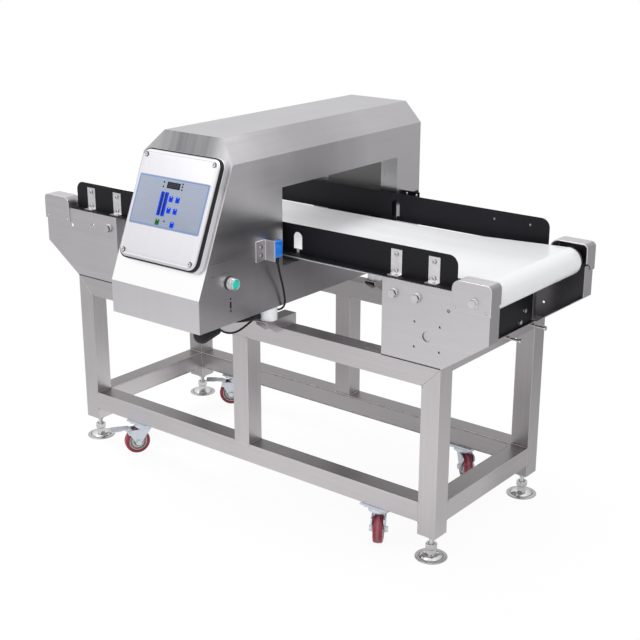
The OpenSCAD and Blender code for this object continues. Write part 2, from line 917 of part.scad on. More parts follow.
module roller_shafts() {
    color("gray") place() both_ends() {
        translate([roller_x, 0, roller_z]) rod_y(shaft_r, -plate_in, 2 * plate_in);
        translate([return_x, 0, return_z]) rod_y(return_shaft_r, -plate_in, 2 * plate_in);
    }
}

// Bearing housings: a flanged disc and a hub that seats on the roller cap
module roller_bearings() {
    color("#222226") place() both_ends() both_sides() translate([roller_x, 0, roller_z])
    difference() {
        union() {
            rod_y(bearing_r, bearing_y, bearing_t);
            rod_y(bearing_hub_r, bearing_y, plate_in - bearing_y);
        }
        rod_y(shaft_r + gap, bearing_y - over, plate_in);
    }
}

// Guides: angle rails with an arched light slot
module guide(y, slot_x, half) {
    z0 = plate_top;
    wing = guide_foot + sheet;
    color("#2b2b30") place() mirror([0, y < 0 ? 1 : 0, 0]) {
        difference() {
            translate([0, guide_y + sheet / 2, 0]) along_y(sheet) difference() {
                union() {
                    translate([-half, z0]) square([2 * half, guide_h - guide_r]);
                    translate([-half + guide_r, z0]) square([2 * (half - guide_r), guide_h]);
                    for (s = [-1, 1])
                        translate([s * (half - guide_r), z0 + guide_h - guide_r]) circle(r = guide_r);
                }
                translate([slot_x - slot_w / 2, z0 + slot_low])
                    square([slot_w, slot_top - slot_low - slot_w / 2]);
                translate([slot_x, z0 + slot_top - slot_w / 2]) circle(r = slot_w / 2);
                translate([slot_x - notch_w / 2, z0 + sheet]) square([notch_w, slot_low]);
            }
            clip_screw_holes();
        }
        translate([-half, guide_y, z0]) cube([2 * half, wing, sheet]);
    }
}

module clip_screw_holes() {
    for (s = [-1, 1], x = clip_x)
        translate([s * x, 0, plate_top + sheet + clip_screw_h])
            rod_y(tie_screw_d / 2, guide_y - over, 3 * sheet + 2 * over);
}

module guide_clip() {
    y0 = guide_y + sheet;
    z0 = plate_top + sheet;
    difference() {
        union() {
            translate([-clip_w / 2, y0, z0]) cube([clip_w, sheet, clip_h]);
            translate([-clip_w / 2, y0, z0]) cube([clip_w, clip_foot, sheet]);
        }
        translate([0, 0, z0 + clip_screw_h]) rod_y(tie_screw_d / 2, y0 - over, sheet + 2 * over);
        translate([0, 0, z0 + clip_hole_h]) rod_y(tie_screw_d / 2, y0 - over, sheet + 2 * over);
    }
}

module guide_clips() {
    color("whitesmoke") place() both_ends() both_sides() for (x = clip_x)
        translate([x, 0, 0]) guide_clip();
}

// Cross panels under the belt at each end, standing on the stand's rails
module end_panels() {
    low = plate_z + tie_lift + gap;
    half = half_w - flange - strap_w;
    color("#2b2b30") place() both_ends() {
        translate([panel_x, -half, low]) cube([sheet, 2 * half, panel_high - low]);
        translate([panel_x - panel_foot, -half, low]) cube([panel_foot, 2 * half, sheet]);
    }
}

// Search head
function head_outline() = [
    [-nose_y, head_z], [back_y, head_z], [back_y, head_top], [slope_y, head_top], [-nose_y, fold_z]
];

function end_outline(d) = let (h = half_head - d) [
    [-h, head_z + d], [h, head_z + d], [h, head_top - bevel_h], [h - bevel_w, head_top - d],
    [-h + bevel_w, head_top - d], [-h, head_top - bevel_h]
];

module head_solid(d) {
    intersection() {
        along_x(head_l - 2 * d) polygon(inset(head_outline(), d));
        translate([0, (back_y - nose_y) / 2, 0]) along_y(back_y + nose_y) polygon(end_outline(d));
    }
}

module tunnel_block(grow, l) {
    translate([-l / 2, -tunnel_y - grow, tunnel_z - grow])
        cube([l, 2 * (tunnel_y + grow), tunnel_h + 2 * grow]);
}

module head_shell() {
    collar_gap = head_l - 2 * sheet - 2 * collar_l;
    color("silver") place() difference() {
        head_solid(0);
        difference() {
            head_solid(sheet);
            tunnel_block(sheet, head_l + over);
        }
        tunnel_block(0, head_l + 2 * over);
        tunnel_block(2 * sheet, collar_gap);
        on_slope() translate([0, cover_mid, 0]) linear_extrude(height = 4 * sheet, center = true)
            rounded(window_w, window_l, cover_r);
        translate([half_head - 2 * sheet, button_y, head_z + button_h])
            rotate([0, 90, 0]) cylinder(r = button_r + gap, h = 4 * sheet);
        for (h = [vent_h[0], vent_h[3]])
            translate([half_head - 2 * sheet, vent_y, head_z + h])
                rotate([0, 90, 0]) cylinder(r = vent_r, h = 4 * sheet);
        translate([half_head - 2 * sheet, vent_y - vent_r, head_z + vent_h[1]])
            cube([4 * sheet, 2 * vent_r, vent_h[2] - vent_h[1]]);
        bush_holes(bush_screw_r, head_z - over, 2 * over + sheet);
        translate([boot_x, (boot_front + boot_back) / 2, head_z - over])
            cylinder(r = cable_d, h = 2 * over + sheet);
    }
}

// Coil former: a resin ring flush with the collars, with three grooves for the coils
module ring(inner, outer, l) {
    difference() {
        tunnel_block(outer, l);
        tunnel_block(inner, l + 2 * over);
    }
}

module coil_former() {
    former_l = head_l - 2 * sheet - 2 * collar_l;
    color("wheat") place() difference() {
        ring(0, former_t, former_l);
        for (x = coil_x)
            translate([x, 0, 0]) ring(former_t - coil_h, former_t + over, coil_w);
    }
}

module coils() {
    color("peru") place() for (x = coil_x)
        translate([x, 0, 0]) ring(former_t - coil_h, former_t, coil_w);
}

// Control panel
module panel_gasket() {
    color("#1b1b1d") place() on_slope() translate([0, cover_mid, 0])
    linear_extrude(height = gasket_h) difference() {
        rounded(cover_w + gasket_out, cover_l + gasket_out, cover_r);
        rounded(window_w, window_l, cover_r);
    }
}

module panel_cover() {
    color("lightgray") place() on_slope() translate([0, cover_mid, gasket_h]) difference() {
        linear_extrude(height = cover_h) rounded(cover_w, cover_l, cover_r);
        translate([0, 0, -over]) linear_extrude(height = cover_h - sheet + over)
            rounded(window_w, window_l, cover_r);
    }
}

module key_pad(w, l) {
    linear_extrude(height = film_t + key_t) rounded(w, l, key_r);
}

module keypad_film() {
    color("#b0bdd0") place() on_slope() translate([0, 0, front_h]) {
        difference() {
            translate([0, film_mid, 0]) linear_extrude(height = film_t) rounded(film_w, film_l, film_r);
            translate([0, window_mid, film_t / 2])
                linear_extrude(height = film_t) square([window_x, window_s], center = true);
        }
        for (k = key_at) translate([k.x, film_mid + k.y, 0]) key_pad(key, key * key_share);
        for (x = column_x)
            translate([x, (column_s[0] + column_s[1]) / 2, 0])
                key_pad(column_w, column_s[1] - column_s[0]);
    }
}

// Control board hung from the back of the cover on four posts
module control_board() {
    color("darkgreen") place() on_slope() translate([0, cover_mid, 0]) {
        translate([-board_w / 2, -board_l / 2, board_h]) cube([board_w, board_l, board_t]);
        for (x = [-1, 1], y = [-1, 1])
            translate([x * (board_w / 2 - 2 * post_r), y * (board_l / 2 - 2 * post_r), board_h])
                cylinder(r = post_r, h = front_h - sheet - board_h);
        translate([-board_w / 2 + block.x / 4, -block.y / 2, board_h - block.z]) cube(block);
        for (i = [0 : 2])
            translate([board_w / 4, (i - 1) * 3 * drum.x, board_h - drum.y])
                cylinder(r = drum.x, h = drum.y);
    }
}

// Push button: ring, bezel and barrel in the wall, with a lamp lens that slides
module at_button() {
    place() translate([half_head, button_y, head_z + button_h]) rotate([0, 90, 0]) children();
}

module button_housing() {
    color("gainsboro") at_button() difference() {
        union() {
            cylinder(r = ring_r, h = ring_l);
            cylinder(r1 = bezel_r, r2 = button_r + bezel_lip, h = bezel_l);
            translate([0, 0, -barrel_l]) cylinder(r = button_r, h = barrel_l);
        }
        translate([0, 0, ring_l / 2]) cylinder(r = button_r + gap, h = bezel_l);
    }
}

module button_cap() {
    color("#14d3b7") at_button() {
        translate([0, 0, cap_sink]) cylinder(r = button_r, h = cap_reach - cap_sink - cap_edge);
        translate([0, 0, cap_reach - cap_edge]) cylinder(r1 = button_r, r2 = button_r - cap_edge, h = cap_edge);
    }
}

// Photo sensor on an angle bracket, and its reflector across the belt
module sensor_bracket() {
    z = head_z + sensor_h;
    color("silver") place() {
        translate([half_head, sensor_y - sensor_flange, z]) cube([sheet, sensor_flange, sensor_tall]);
        translate([half_head, sensor_y - sheet, z]) cube([sensor_arm, sheet, sensor_tall]);
    }
}

module photo_sensor() {
    z = head_z + beam_h - sensor_size.z / 2;
    color("dodgerblue") place() {
        translate([sensor_x, sensor_y, z]) cube(sensor_size);
        translate([beam_x, sensor_y + sensor_size.y, head_z + beam_h + sensor_size.z / 5])
            rod_y(sensor_size.x / 4, 0, sensor_eye);
    }
}

module reflector_bracket() {
    z = head_z + reflector_h;
    color("#2b2b30") place() {
        translate([half_head, reflector_y, z]) cube([sheet, reflector_l, reflector_tall]);
        translate([half_head, reflector_y, z]) cube([reflector_arm, sheet, reflector_tall]);
        translate([beam_x, 0, z + reflector_tall / 2])
            rod_y(reflector_r, reflector_y - 2 * sheet, 2 * sheet);
    }
}

// Rubber boot under the nose where the cable goes in
module cable_boot() {
    z = head_z - boot_drop;
    color("#1b1b1d") place() intersection() {
        translate([boot_x, boot_back, z]) rotate([90, 0, 0]) {
            cylinder(r1 = boot_small, r2 = boot_r, h = boot_back - boot_front - boot_r);
            translate([0, 0, boot_back - boot_front - boot_r]) sphere(r = boot_r);
        }
        translate([boot_x - boot_r, boot_front, z - boot_r])
            cube([2 * boot_r, boot_back - boot_front, boot_r + boot_drop]);
    }
}

// Cable: one closed tube with a ring at each point of a smooth curve through the route
function curve(p, i, t) = let (
    a = p[max(i - 1, 0)],
    b = p[i],
    c = p[i + 1],
    d = p[min(i + 2, len(p) - 1)]
) 0.5 * (2 * b + (c - a) * t + (2 * a - 5 * b + 4 * c - d) * t * t
    + (3 * b - a - 3 * c + d) * t * t * t);

function smooth(p) = concat([
    for (i = [0 : len(p) - 2])
    let (n = max(1, round(norm(p[i + 1] - p[i]) / cable_step)))
    for (j = [0 : n - 1]) curve(p, i, j / n)
], [p[len(p) - 1]]);

function unit(v) = v / norm(v);

// Side directions carried along the route without twist
function carry(p, i, s) = let (
    t = unit(p[min(i + 1, len(p) - 1)] - p[max(i - 1, 0)]),
    side = unit(s - (s * t) * t)
) i == len(p) - 1 ? [[side, cross(t, side)]] : concat([[side, cross(t, side)]], carry(p, i + 1, side));

module swept(p, d, n) {
    sides = carry(p, 0, [1, 0, 0]);
    pts = [
        for (i = [0 : len(p) - 1], k = [0 : n - 1])
        let (a = 360 * k / n)
        p[i] + d / 2 * (cos(a) * sides[i][0] + sin(a) * sides[i][1])
    ];
    walls = [
        for (i = [0 : len(p) - 2], k = [0 : n - 1])
        let (a = i * n + k, b = i * n + (k + 1) % n)
        each [[a, a + n, b], [b, a + n, b + n]]
    ];
    first = [for (k = [0 : n - 1]) k];
    last = [for (k = [n - 1 : -1 : 0]) (len(p) - 1) * n + k];
    polyhedron(points = pts, faces = concat(walls, [first, last]));
}

module sensor_cable() {
    color("#1b1b1d") place() swept(smooth(cable_route), cable_d, cable_sides);
}

// Fasteners
module lock_nut() {
    translate([0, 0, leg_z - nut_h]) difference() {
        hex_head(nut_af, nut_h);
        translate([0, 0, -over]) cylinder(r = stem_d / 2 + gap, h = nut_h + 2 * over);
    }
}

module tie_screw(y) {
    translate([half_l, y, rail_z + tie_lift - tie_h / 2]) rotate([0, 90, 0]) {
        translate([0, 0, -tie_t]) cylinder(r = tie_screw_d / 2, h = tie_screw_l + tie_t);
        cylinder(r = tie_screw_d, h = tie_screw_d * 0.7, $fn = 6);
        translate([0, 0, tie_screw_l]) hex_head(tie_screw_d * 1.7, tie_screw_d * 0.65);
    }
}

module hex_bolts() {
    color("gainsboro") place() {
        for (x = [-1, 1], y = [-1, 1]) translate([x * leg_x, y * leg_y, 0]) lock_nut();
        both_ends() for (y = tie_screw_y) tie_screw(y);
        both_ends() both_sides()
            translate([return_x, half_w, return_z]) rotate([-90, 0, 0]) bolt(bolt_d, sheet);
        both_sides()
            translate([roller_x, half_w + cap_t, roller_z]) rotate([-90, 0, 0]) bolt(bolt_d, cap_t + sheet);
        both_ends() for (p = panel_bolt)
            translate([panel_x + sheet, p.x, plate_z + p.y]) rotate([0, 90, 0]) bolt(tie_screw_d, 0);
        for (s = [[1, -1], [1, 1], [-1, 1]])
            mirror([s.x < 0 ? 1 : 0, 0, 0]) mirror([0, s.y < 0 ? 1 : 0, 0])
                translate([lug_x, half_w, return_z]) rotate([-90, 0, 0]) bolt(bolt_d, sheet);
    }
}

module small_screws() {
    color("gainsboro") place() {
        on_slope() for (x = [-1, 1], y = [-1, 1])
            translate([x * cover_screw_x, cover_mid + y * cover_screw_s, front_h]) pan_screw(pan_d);
        both_ends() both_sides() {
            for (x = clip_x) translate([x, 0, plate_top + sheet]) {
                for (h = [clip_screw_h, clip_hole_h])
                    translate([0, guide_y + 2 * sheet, h]) rotate([-90, 0, 0]) pan_screw(pan_d);
            }
            for (x = [cap_x + cap_rivet_in, end_x - cap_rivet_in])
                translate([x, half_w + cap_t, seam_z - cap_lap / 2]) rotate([-90, 0, 0])
                    cylinder(r1 = rivet_r, r2 = rivet_r * rivet_top_share, h = rivet_h);
        }
        translate([half_head + sheet, sensor_y - sensor_flange / 2, head_z + sensor_h]) rotate([0, 90, 0])
            for (z = sensor_screw_shares) translate([-z * sensor_tall, 0, 0]) pan_screw(pan_d);
        translate([half_head + sheet, reflector_y, head_z + reflector_h + reflector_tall / 2])
            for (y = reflector_screw_shares) translate([0, y * reflector_l, 0]) rotate([0, 90, 0]) pan_screw(pan_d);
    }
}

leg(-1, -1);  // leg_near_left
leg(1, -1);  // leg_near_right
leg(-1, 1);  // leg_far_left
leg(1, 1);  // leg_far_right
top_rail(-1);  // top_rail_near
top_rail(1);  // top_rail_far
lower_rails();
lower_cross_rails();
mid_posts();
end_ties();
head_brackets();
head_bushes();
castor_plates();
castor_fork(near_left_castor);  // castor_fork_near_left
castor_fork(far_left_castor);  // castor_fork_far_left
castor_fork(near_right_castor);  // castor_fork_near_right
castor_fork(far_right_castor);  // castor_fork_far_right
castor_wheel(near_left_castor);  // castor_wheel_near_left
castor_wheel(far_left_castor);  // castor_wheel_far_left
castor_wheel(near_right_castor);  // castor_wheel_near_right
castor_wheel(far_right_castor);  // castor_wheel_far_right
brake_pedal(near_left_castor);  // brake_pedal_near_left
brake_pedal(far_left_castor);  // brake_pedal_far_left
foot(-1, -1);  // foot_near_left
foot(1, -1);  // foot_near_right
foot(-1, 1);  // foot_far_left
foot(1, 1);  // foot_far_right
side_plate(-1, -1, false);  // side_plate_near_left
side_plate(1, -1, true);  // side_plate_near_right
side_plate(-1, 1, false);  // side_plate_far_left
side_plate(1, 1, true);  // side_plate_far_right
roller_caps();
hex_bolts();
small_screws();
slider_bed();
conveyor_belt();
end_roller(1);  // drive_drum
end_roller(-1);  // tail_roller
return_roller(-1);  // return_roller_left
return_roller(1);  // return_roller_right
roller_shafts();
roller_bearings();
guide(-1, slot_near_x, cap_x - guide_end_near);  // guide_near
guide(1, slot_far_x, guide_l);  // guide_far
guide_clips();
end_panels();
head_shell();
coil_former();
coils();
control_board();
panel_cover();
panel_gasket();
keypad_film();
button_housing();
button_cap();
sensor_bracket();
photo_sensor();
reflector_bracket();
sensor_cable();
cable_boot();
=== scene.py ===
"""Conveyor metal detector, dressed for the render. Metres, in the row frame."""
import json
import math

import bmesh
import bpy
from mathutils import Matrix, Vector


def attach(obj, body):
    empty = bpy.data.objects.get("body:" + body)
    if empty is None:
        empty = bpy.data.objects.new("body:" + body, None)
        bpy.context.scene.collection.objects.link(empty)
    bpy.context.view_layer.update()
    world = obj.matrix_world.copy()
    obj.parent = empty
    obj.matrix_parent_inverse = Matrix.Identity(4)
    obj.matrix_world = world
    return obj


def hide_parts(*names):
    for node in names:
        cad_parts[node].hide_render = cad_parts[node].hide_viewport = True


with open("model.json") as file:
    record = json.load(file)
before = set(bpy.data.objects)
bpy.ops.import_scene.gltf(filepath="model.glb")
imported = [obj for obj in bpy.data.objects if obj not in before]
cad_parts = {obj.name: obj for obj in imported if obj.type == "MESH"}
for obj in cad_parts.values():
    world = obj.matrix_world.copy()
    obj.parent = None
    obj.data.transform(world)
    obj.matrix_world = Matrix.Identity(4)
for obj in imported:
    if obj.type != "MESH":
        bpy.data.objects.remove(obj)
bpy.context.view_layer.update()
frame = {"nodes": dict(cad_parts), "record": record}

MM = 0.001
SHIFT_Y = 92.5
MID_Y = SHIFT_Y * MM
FRAME = "frame"
CORNERS = ("near_left", "near_right", "far_left", "far_right")

# The stand, in millimetres from its middle
LEG_X, LEG_IN_X, LEG_OUT_X = 572.5, 547.5, 597
LEG_Y, LEG_IN_Y, LEG_OUT_Y = 213, 188, 237.5
LOW_RAIL, LOW_RAIL_TOP, TOP_RAIL, TOP_RAIL_TOP = 94, 144, 434, 484
POST_HALF = 25
ROLLER_X, ROLLER_Z = 676, 655


def at(x, y, z):
    """A point given in millimetres from the middle of the stand, in the row frame."""
    return Vector((x, y + SHIFT_Y, z)) * MM


def move(x, y, z):
    return Matrix.Translation(at(x, y, z))


def turn(degrees, axis):
    return Matrix.Rotation(math.radians(degrees), 4, axis)


# The sloped front: x across, s up along it, h out of it
SLOPE_COS, SLOPE_SIN = 0.38767, 0.92180
FOLD_Y, FOLD_Z = -525, 623
SLOPE = move(0, FOLD_Y, FOLD_Z) @ Matrix(((1, 0, 0, 0),
                                          (0, SLOPE_COS, -SLOPE_SIN, 0),
                                          (0, SLOPE_SIN, SLOPE_COS, 0),
                                          (0, 0, 0, 1)))


def on_slope(x, s, h):
    return SLOPE @ Matrix.Translation(Vector((x, s, h)) * MM)


def aimed(place, aim):
    """The matrix of a camera or lamp that looks from one point to another."""
    look = (Vector(aim) - Vector(place)).to_track_quat("-Z", "Y").to_matrix().to_4x4()
    return Matrix.Translation(Vector(place)) @ look


# Camera ---------------------------------------------------------------

LENS, SENSOR_WIDTH, ROLL = 69.475, 36, 0.09
CAMERA_AT, CAMERA_AIM = Vector((1.9736, -2.3134, 1.4560)), Vector((0.02794, 0.14369, 0.40625))


def make_camera():
    data = bpy.data.cameras.new("camera")
    data.lens = LENS
    data.sensor_width = SENSOR_WIDTH
    data.clip_end = 60
    cam = bpy.data.objects.new("camera", data)
    bpy.context.scene.collection.objects.link(cam)
    cam.matrix_world = aimed(CAMERA_AT, CAMERA_AIM) @ turn(ROLL, "Z")
    bpy.context.scene.camera = cam


make_camera()


# Forms ----------------------------------------------------------------

def add(name, data, body, material, place=None):
    obj = bpy.data.objects.new(name, data)
    bpy.context.scene.collection.objects.link(obj)
    data.materials.append(material)
    if place is not None:
        obj.matrix_world = place
    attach(obj, body)
    return obj


def merged(forms):
    """Several (points, faces) pairs as one."""
    points, faces = [], []
    for p, f in forms:
        n = len(points)
        points += p
        faces += [tuple(i + n for i in face) for face in f]
    return points, faces


def shifted(form, x=0.0, y=0.0, z=0.0, place=None):
    """The form moved by millimetres, or by a matrix."""
    m = place or Matrix.Translation(Vector((x, y, z)) * MM)
    return [tuple(m @ Vector(p)) for p in form[0]], form[1]


def piece(name, form, body, material, place=None, stands_for=(), crease=35):
    """A mesh piece from points in metres and faces; edges sharper than the crease stay hard."""
    data = bpy.data.meshes.new(name)
    data.from_pydata(form[0], [], form[1])
    bm = bmesh.new()
    bm.from_mesh(data)
    bmesh.ops.recalc_face_normals(bm, faces=bm.faces)
    bm.to_mesh(data)
    bm.free()
    for p in data.polygons:
        p.use_smooth = True
    data.set_sharp_from_angle(angle=math.radians(crease))
    obj = add(name, data, body, material, place)
    if stands_for:
        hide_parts(*stands_for)
    return obj


def pairs(rows, loop):
    """Neighbouring rows, and with loop also the last and the first."""
    return list(zip(rows, rows[1:])) + ([(rows[-1], rows[0])] if loop else [])


def lathe(profile, steps=56, loop=False):
    """Solid of revolution about z from (radius, height) pairs in millimetres."""
    points, rows, faces = [], [], []
    for r, h in profile:
        if r == 0:
            rows.append([len(points)])
            points.append((0, 0, h * MM))
        else:
            rows.append(list(range(len(points), len(points) + steps)))
            points += [(r * MM * math.cos(a), r * MM * math.sin(a), h * MM)
                       for a in (2 * math.pi * i / steps for i in range(steps))]
    for a, b in pairs(rows, loop):
        for i in range(steps):
            j = (i + 1) % steps
            if len(a) == 1:
                faces.append((a[0], b[i], b[j]))
            elif len(b) == 1:
                faces.append((a[i], b[0], a[j]))
            else:
                faces.append((a[i], b[i], b[j], a[j]))
    return points, faces


def stack(outlines, loop=False):
    """Closed form through equal outlines [(points in mm, height in mm), ...]."""
    n = len(outlines[0][0])
    points = [(x * MM, y * MM, h * MM) for line, h in outlines for x, y in line]
    rows = [range(k * n, k * n + n) for k in range(len(outlines))]
    faces = [(a[i], a[(i + 1) % n], b[(i + 1) % n], b[i])
             for a, b in pairs(rows, loop) for i in range(n)]
    if not loop:
        faces += [tuple(reversed(rows[0])), tuple(rows[-1])]
    return points, faces


def rounded(w, l, r, steps=6):
    """Outline of a rounded rectangle about the origin."""
    out = []
    for k, (sx, sy) in enumerate(((1, 1), (-1, 1), (-1, -1), (1, -1))):
        for i in range(steps + 1):
            a = math.pi / 2 * (k + i / steps)
            out.append((sx * (w / 2 - r) + r * math.cos(a), sy * (l / 2 - r) + r * math.sin(a)))
    return out


def pad(w, l, r, low, high, edge=0.2, steps=4):
    """Rounded slab whose upper edge is softened."""
    return stack([(rounded(w, l, r, steps), low), (rounded(w, l, r, steps), high - edge),
                  (rounded(w - edge, l - edge, r - edge / 2, steps), high - edge * 0.3),
                  (rounded(w - 2 * edge, l - 2 * edge, r - edge, steps), high)])


def polygon(points, low, high):
    return stack([(points, low), (points, high)])


def slab_between(low, high):
    """Straight sheet between two corners in millimetres."""
    (x0, y0, z0), (x1, y1, z1) = low, high
    return polygon([(x0, y0), (x1, y0), (x1, y1), (x0, y1)], z0, z1)


def band(outer, inner, low, high):
    """Flat frame between two equal outlines."""
    return stack([(outer, low), (outer, high), (inner, high), (inner, low)], loop=True)


def sweep(path, radii, sides=12):
    """Tube along points in metres, a radius in metres at each."""
    points, faces = [], []
    side = None
    for i, p in enumerate(path):
        along = (path[min(i + 1, len(path) - 1)] - path[max(i - 1, 0)]).normalized()
        if side is None:
            side = along.orthogonal().normalized()
        side = (side - along * side.dot(along)).normalized()
        other = along.cross(side)
        for k in range(sides):
            a = 2 * math.pi * k / sides
            points.append(tuple(p + (side * math.cos(a) + other * math.sin(a)) * radii[i]))
    for i in range(len(path) - 1):
        for k in range(sides):
            a, b = i * sides + k, i * sides + (k + 1) % sides
            faces.append((a, b, b + sides, a + sides))
    last = (len(path) - 1) * sides
    faces += [tuple(reversed(range(sides))), tuple(range(last, last + sides))]
    return points, faces


def smooth_route(points, step):
    """A Catmull-Rom curve through the points, the form the source draws, cut in equal spans."""
    out = []
    n = len(points)
    for i in range(n - 1):
        a, b = points[i], points[i + 1]
        before = points[i - 1] if i else a + a - b
        after = points[i + 2] if i + 2 < n else b + b - a
        cuts = max(2, round((b - a).length / step))
        for k in range(cuts):
            t = k / cuts
            out.append(0.5 * (2 * a + (b - before) * t
                              + (2 * before - 5 * a + 4 * b - after) * t * t
                              + (3 * a - before - 3 * b + after) * t ** 3))
    out.append(points[-1])
    return out


# Materials ------------------------------------------------------------

def add_node(tree, kind, inputs=None, **props):
    """A shader node with its properties, and its inputs set or linked."""
    n = tree.nodes.new(kind)
    for key, value in props.items():
        setattr(n, key, value)
    for key, value in (inputs or {}).items():
        if isinstance(value, bpy.types.NodeSocket):
            tree.links.new(value, n.inputs[key])
        else:
            n.inputs[key].default_value = value
    return n


class Shade:
    """A material built from nodes round one Principled shader."""

    def __init__(self, name, rough=0.5, metal=0.0, **sockets):
        self.mat = bpy.data.materials.new(name)
        self.mat.use_nodes = True
        self.tree = self.mat.node_tree
        self.shader = self.tree.nodes["Principled BSDF"]
        self.shader.inputs["Roughness"].default_value = rough
        self.shader.inputs["Metallic"].default_value = metal
        for key, value in sockets.items():
            self.shader.inputs[key.replace("_", " ")].default_value = value

    def new(self, kind, inputs=None, **props):
        return add_node(self.tree, kind, inputs, **props)

    def object_point(self):
        return self.new("ShaderNodeTexCoord").outputs["Object"]

    def parts(self, vector):
        n = self.new("ShaderNodeSeparateXYZ", {0: vector})
        return n.outputs[0], n.outputs[1], n.outputs[2]

    def xyz(self):
        return self.parts(self.object_point())

    def normal(self):
        return self.parts(self.new("ShaderNodeTexCoord").outputs["Normal"])

    def noise(self, scale, size=1.0, detail=3.0, rough=0.5):
        """Noise whose features are about 1 / (scale * size) metres along each axis."""
        m = self.new("ShaderNodeMapping", {"Vector": self.object_point(), "Scale": scale})
        n = self.new("ShaderNodeTexNoise", {"Vector": m.outputs[0], "Scale": size,
                                            "Detail": detail, "Roughness": rough})
        return n.outputs[0]

    def math(self, kind, a, b=0.0, c=0.0):
        return self.new("ShaderNodeMath", {0: a, 1: b, 2: c}, operation=kind).outputs[0]

    def times(self, a, b):
        return self.math("MULTIPLY", a, b)

    def swing(self, value, size, onto):
        """A noise value round its middle, scaled and added to another value."""
        return self.math("MULTIPLY_ADD", self.math("SUBTRACT", value, 0.5), size, onto)

    def span(self, value, low, high, a=0.0, b=1.0):
        n = self.new("ShaderNodeMapRange", {"Value": value, "From Min": low, "From Max": high,
                                            "To Min": a, "To Max": b})
        return n.outputs[0]

    def off(self, value, centre):
        """Distance from a centre."""
        return self.math("ABSOLUTE", self.math("SUBTRACT", value, centre))

    def length(self, a, b):
        return self.math("SQRT", self.math("ADD", self.times(a, a), self.times(b, b)))

    def between(self, factor, a, b):
        """From one value to another by a factor."""
        return self.new("ShaderNodeMix", {0: factor, 2: a, 3: b}).outputs[0]

    def mix(self, factor, a, b):
        """From one colour to another by a factor."""
        a, b = ((*c, 1) if isinstance(c, tuple) else c for c in (a, b))
        return self.new("ShaderNodeMix", {0: factor, 6: a, 7: b}, data_type="RGBA").outputs[2]

    def color(self, socket):
        self.tree.links.new(socket, self.shader.inputs["Base Color"])

    def rough(self, socket):
        self.tree.links.new(socket, self.shader.inputs["Roughness"])

    def bump(self, height, distance, strength=1.0):
        n = self.new("ShaderNodeBump", {"Height": height, "Distance": distance, "Strength": strength})
        self.tree.links.new(n.outputs[0], self.shader.inputs["Normal"])


def scaled(colour, share):
    return tuple(min(1, c * share) for c in colour)


def grain_scale(axis, fine, long):
    """Mapping scale that draws noise out along one axis."""
    return tuple(long if k == axis else fine for k in "xyz")


def weld_tint(s):
    """How near a point lies to the stand's welds, from 0 to 1, broken up by noise."""
    x, y, z = s.xyz()
    dx = s.off(s.math("ABSOLUTE", x), LEG_IN_X * MM)
    dy = s.off(s.off(y, MID_Y), LEG_IN_Y * MM)
    top, low, under = (s.off(z, level * MM) for level in (LOW_RAIL_TOP, LOW_RAIL, TOP_RAIL))
    dz = s.math("MINIMUM", top, low)
    legs = s.math("MINIMUM", s.length(dx, dz), s.length(dy, dz))
    posts = s.length(s.off(s.math("ABSOLUTE", x), POST_HALF * MM), s.math("MINIMUM", top, under))
    near = s.math("MINIMUM", s.math("MINIMUM", legs, s.length(dx, under)), posts)
    broken = s.math("MULTIPLY_ADD", s.noise((90, 90, 90), detail=4), 0.010, near)
    return s.span(broken, 0.0055, 0.0105, 1.0, 0.0)


def stand_tones(s, colour):
    """Upward faces darker, painted light on the near legs and painted shade on the far ones."""
    pale, shade, top_tone = (1.0, 0.97, 1.0), (0.05, 0.045, 0.05), (0.13, 0.12, 0.12)
    nx, ny, nz = s.normal()
    y = s.xyz()[1]
    near = s.span(y, 0.15, 0.05)
    facing = s.span(ny, -0.6, -0.8)
    # Painted light on the near legs, on faces that look along x and towards the front
    out = s.mix(s.times(s.times(s.span(nx, 0.6, 0.8), near), 0.32), colour, pale)
    out = s.mix(s.times(s.times(facing, near), 0.13), out, pale)
    # Painted shade on the front faces of the far legs
    out = s.mix(s.times(s.times(facing, s.span(y, 0.22, 0.26)), 0.28), out, shade)
    # Upward faces darker
    return s.mix(s.times(s.span(nz, 0.8, 0.95), 0.58), out, top_tone)


def plate_tones(s, colour):
    """Painted shade: the inner sides of the end plates are dark, and the faces of their bends that
    turn towards x a little darker.
    """
    y = s.xyz()[1]
    nx, ny, nz = s.normal()
    inward = s.times(ny, s.math("SIGN", s.math("SUBTRACT", MID_Y, y)))
    # Painted shade on the inward faces of the end plates
    inner_shade = s.times(s.span(inward, 0.5, 0.7), s.span(s.off(y, MID_Y), 0.20, 0.21))
    # Painted shade on the faces of the bends that turn towards x
    bend = s.times(s.span(s.math("ABSOLUTE", nx), 0.2, 0.4), s.span(nz, -0.2, 0.1))
    dull = s.mix(s.times(bend, 0.6), colour, (0.30, 0.29, 0.30))
    return s.mix(s.times(inner_shade, 0.9), dull, (0.10, 0.095, 0.10))


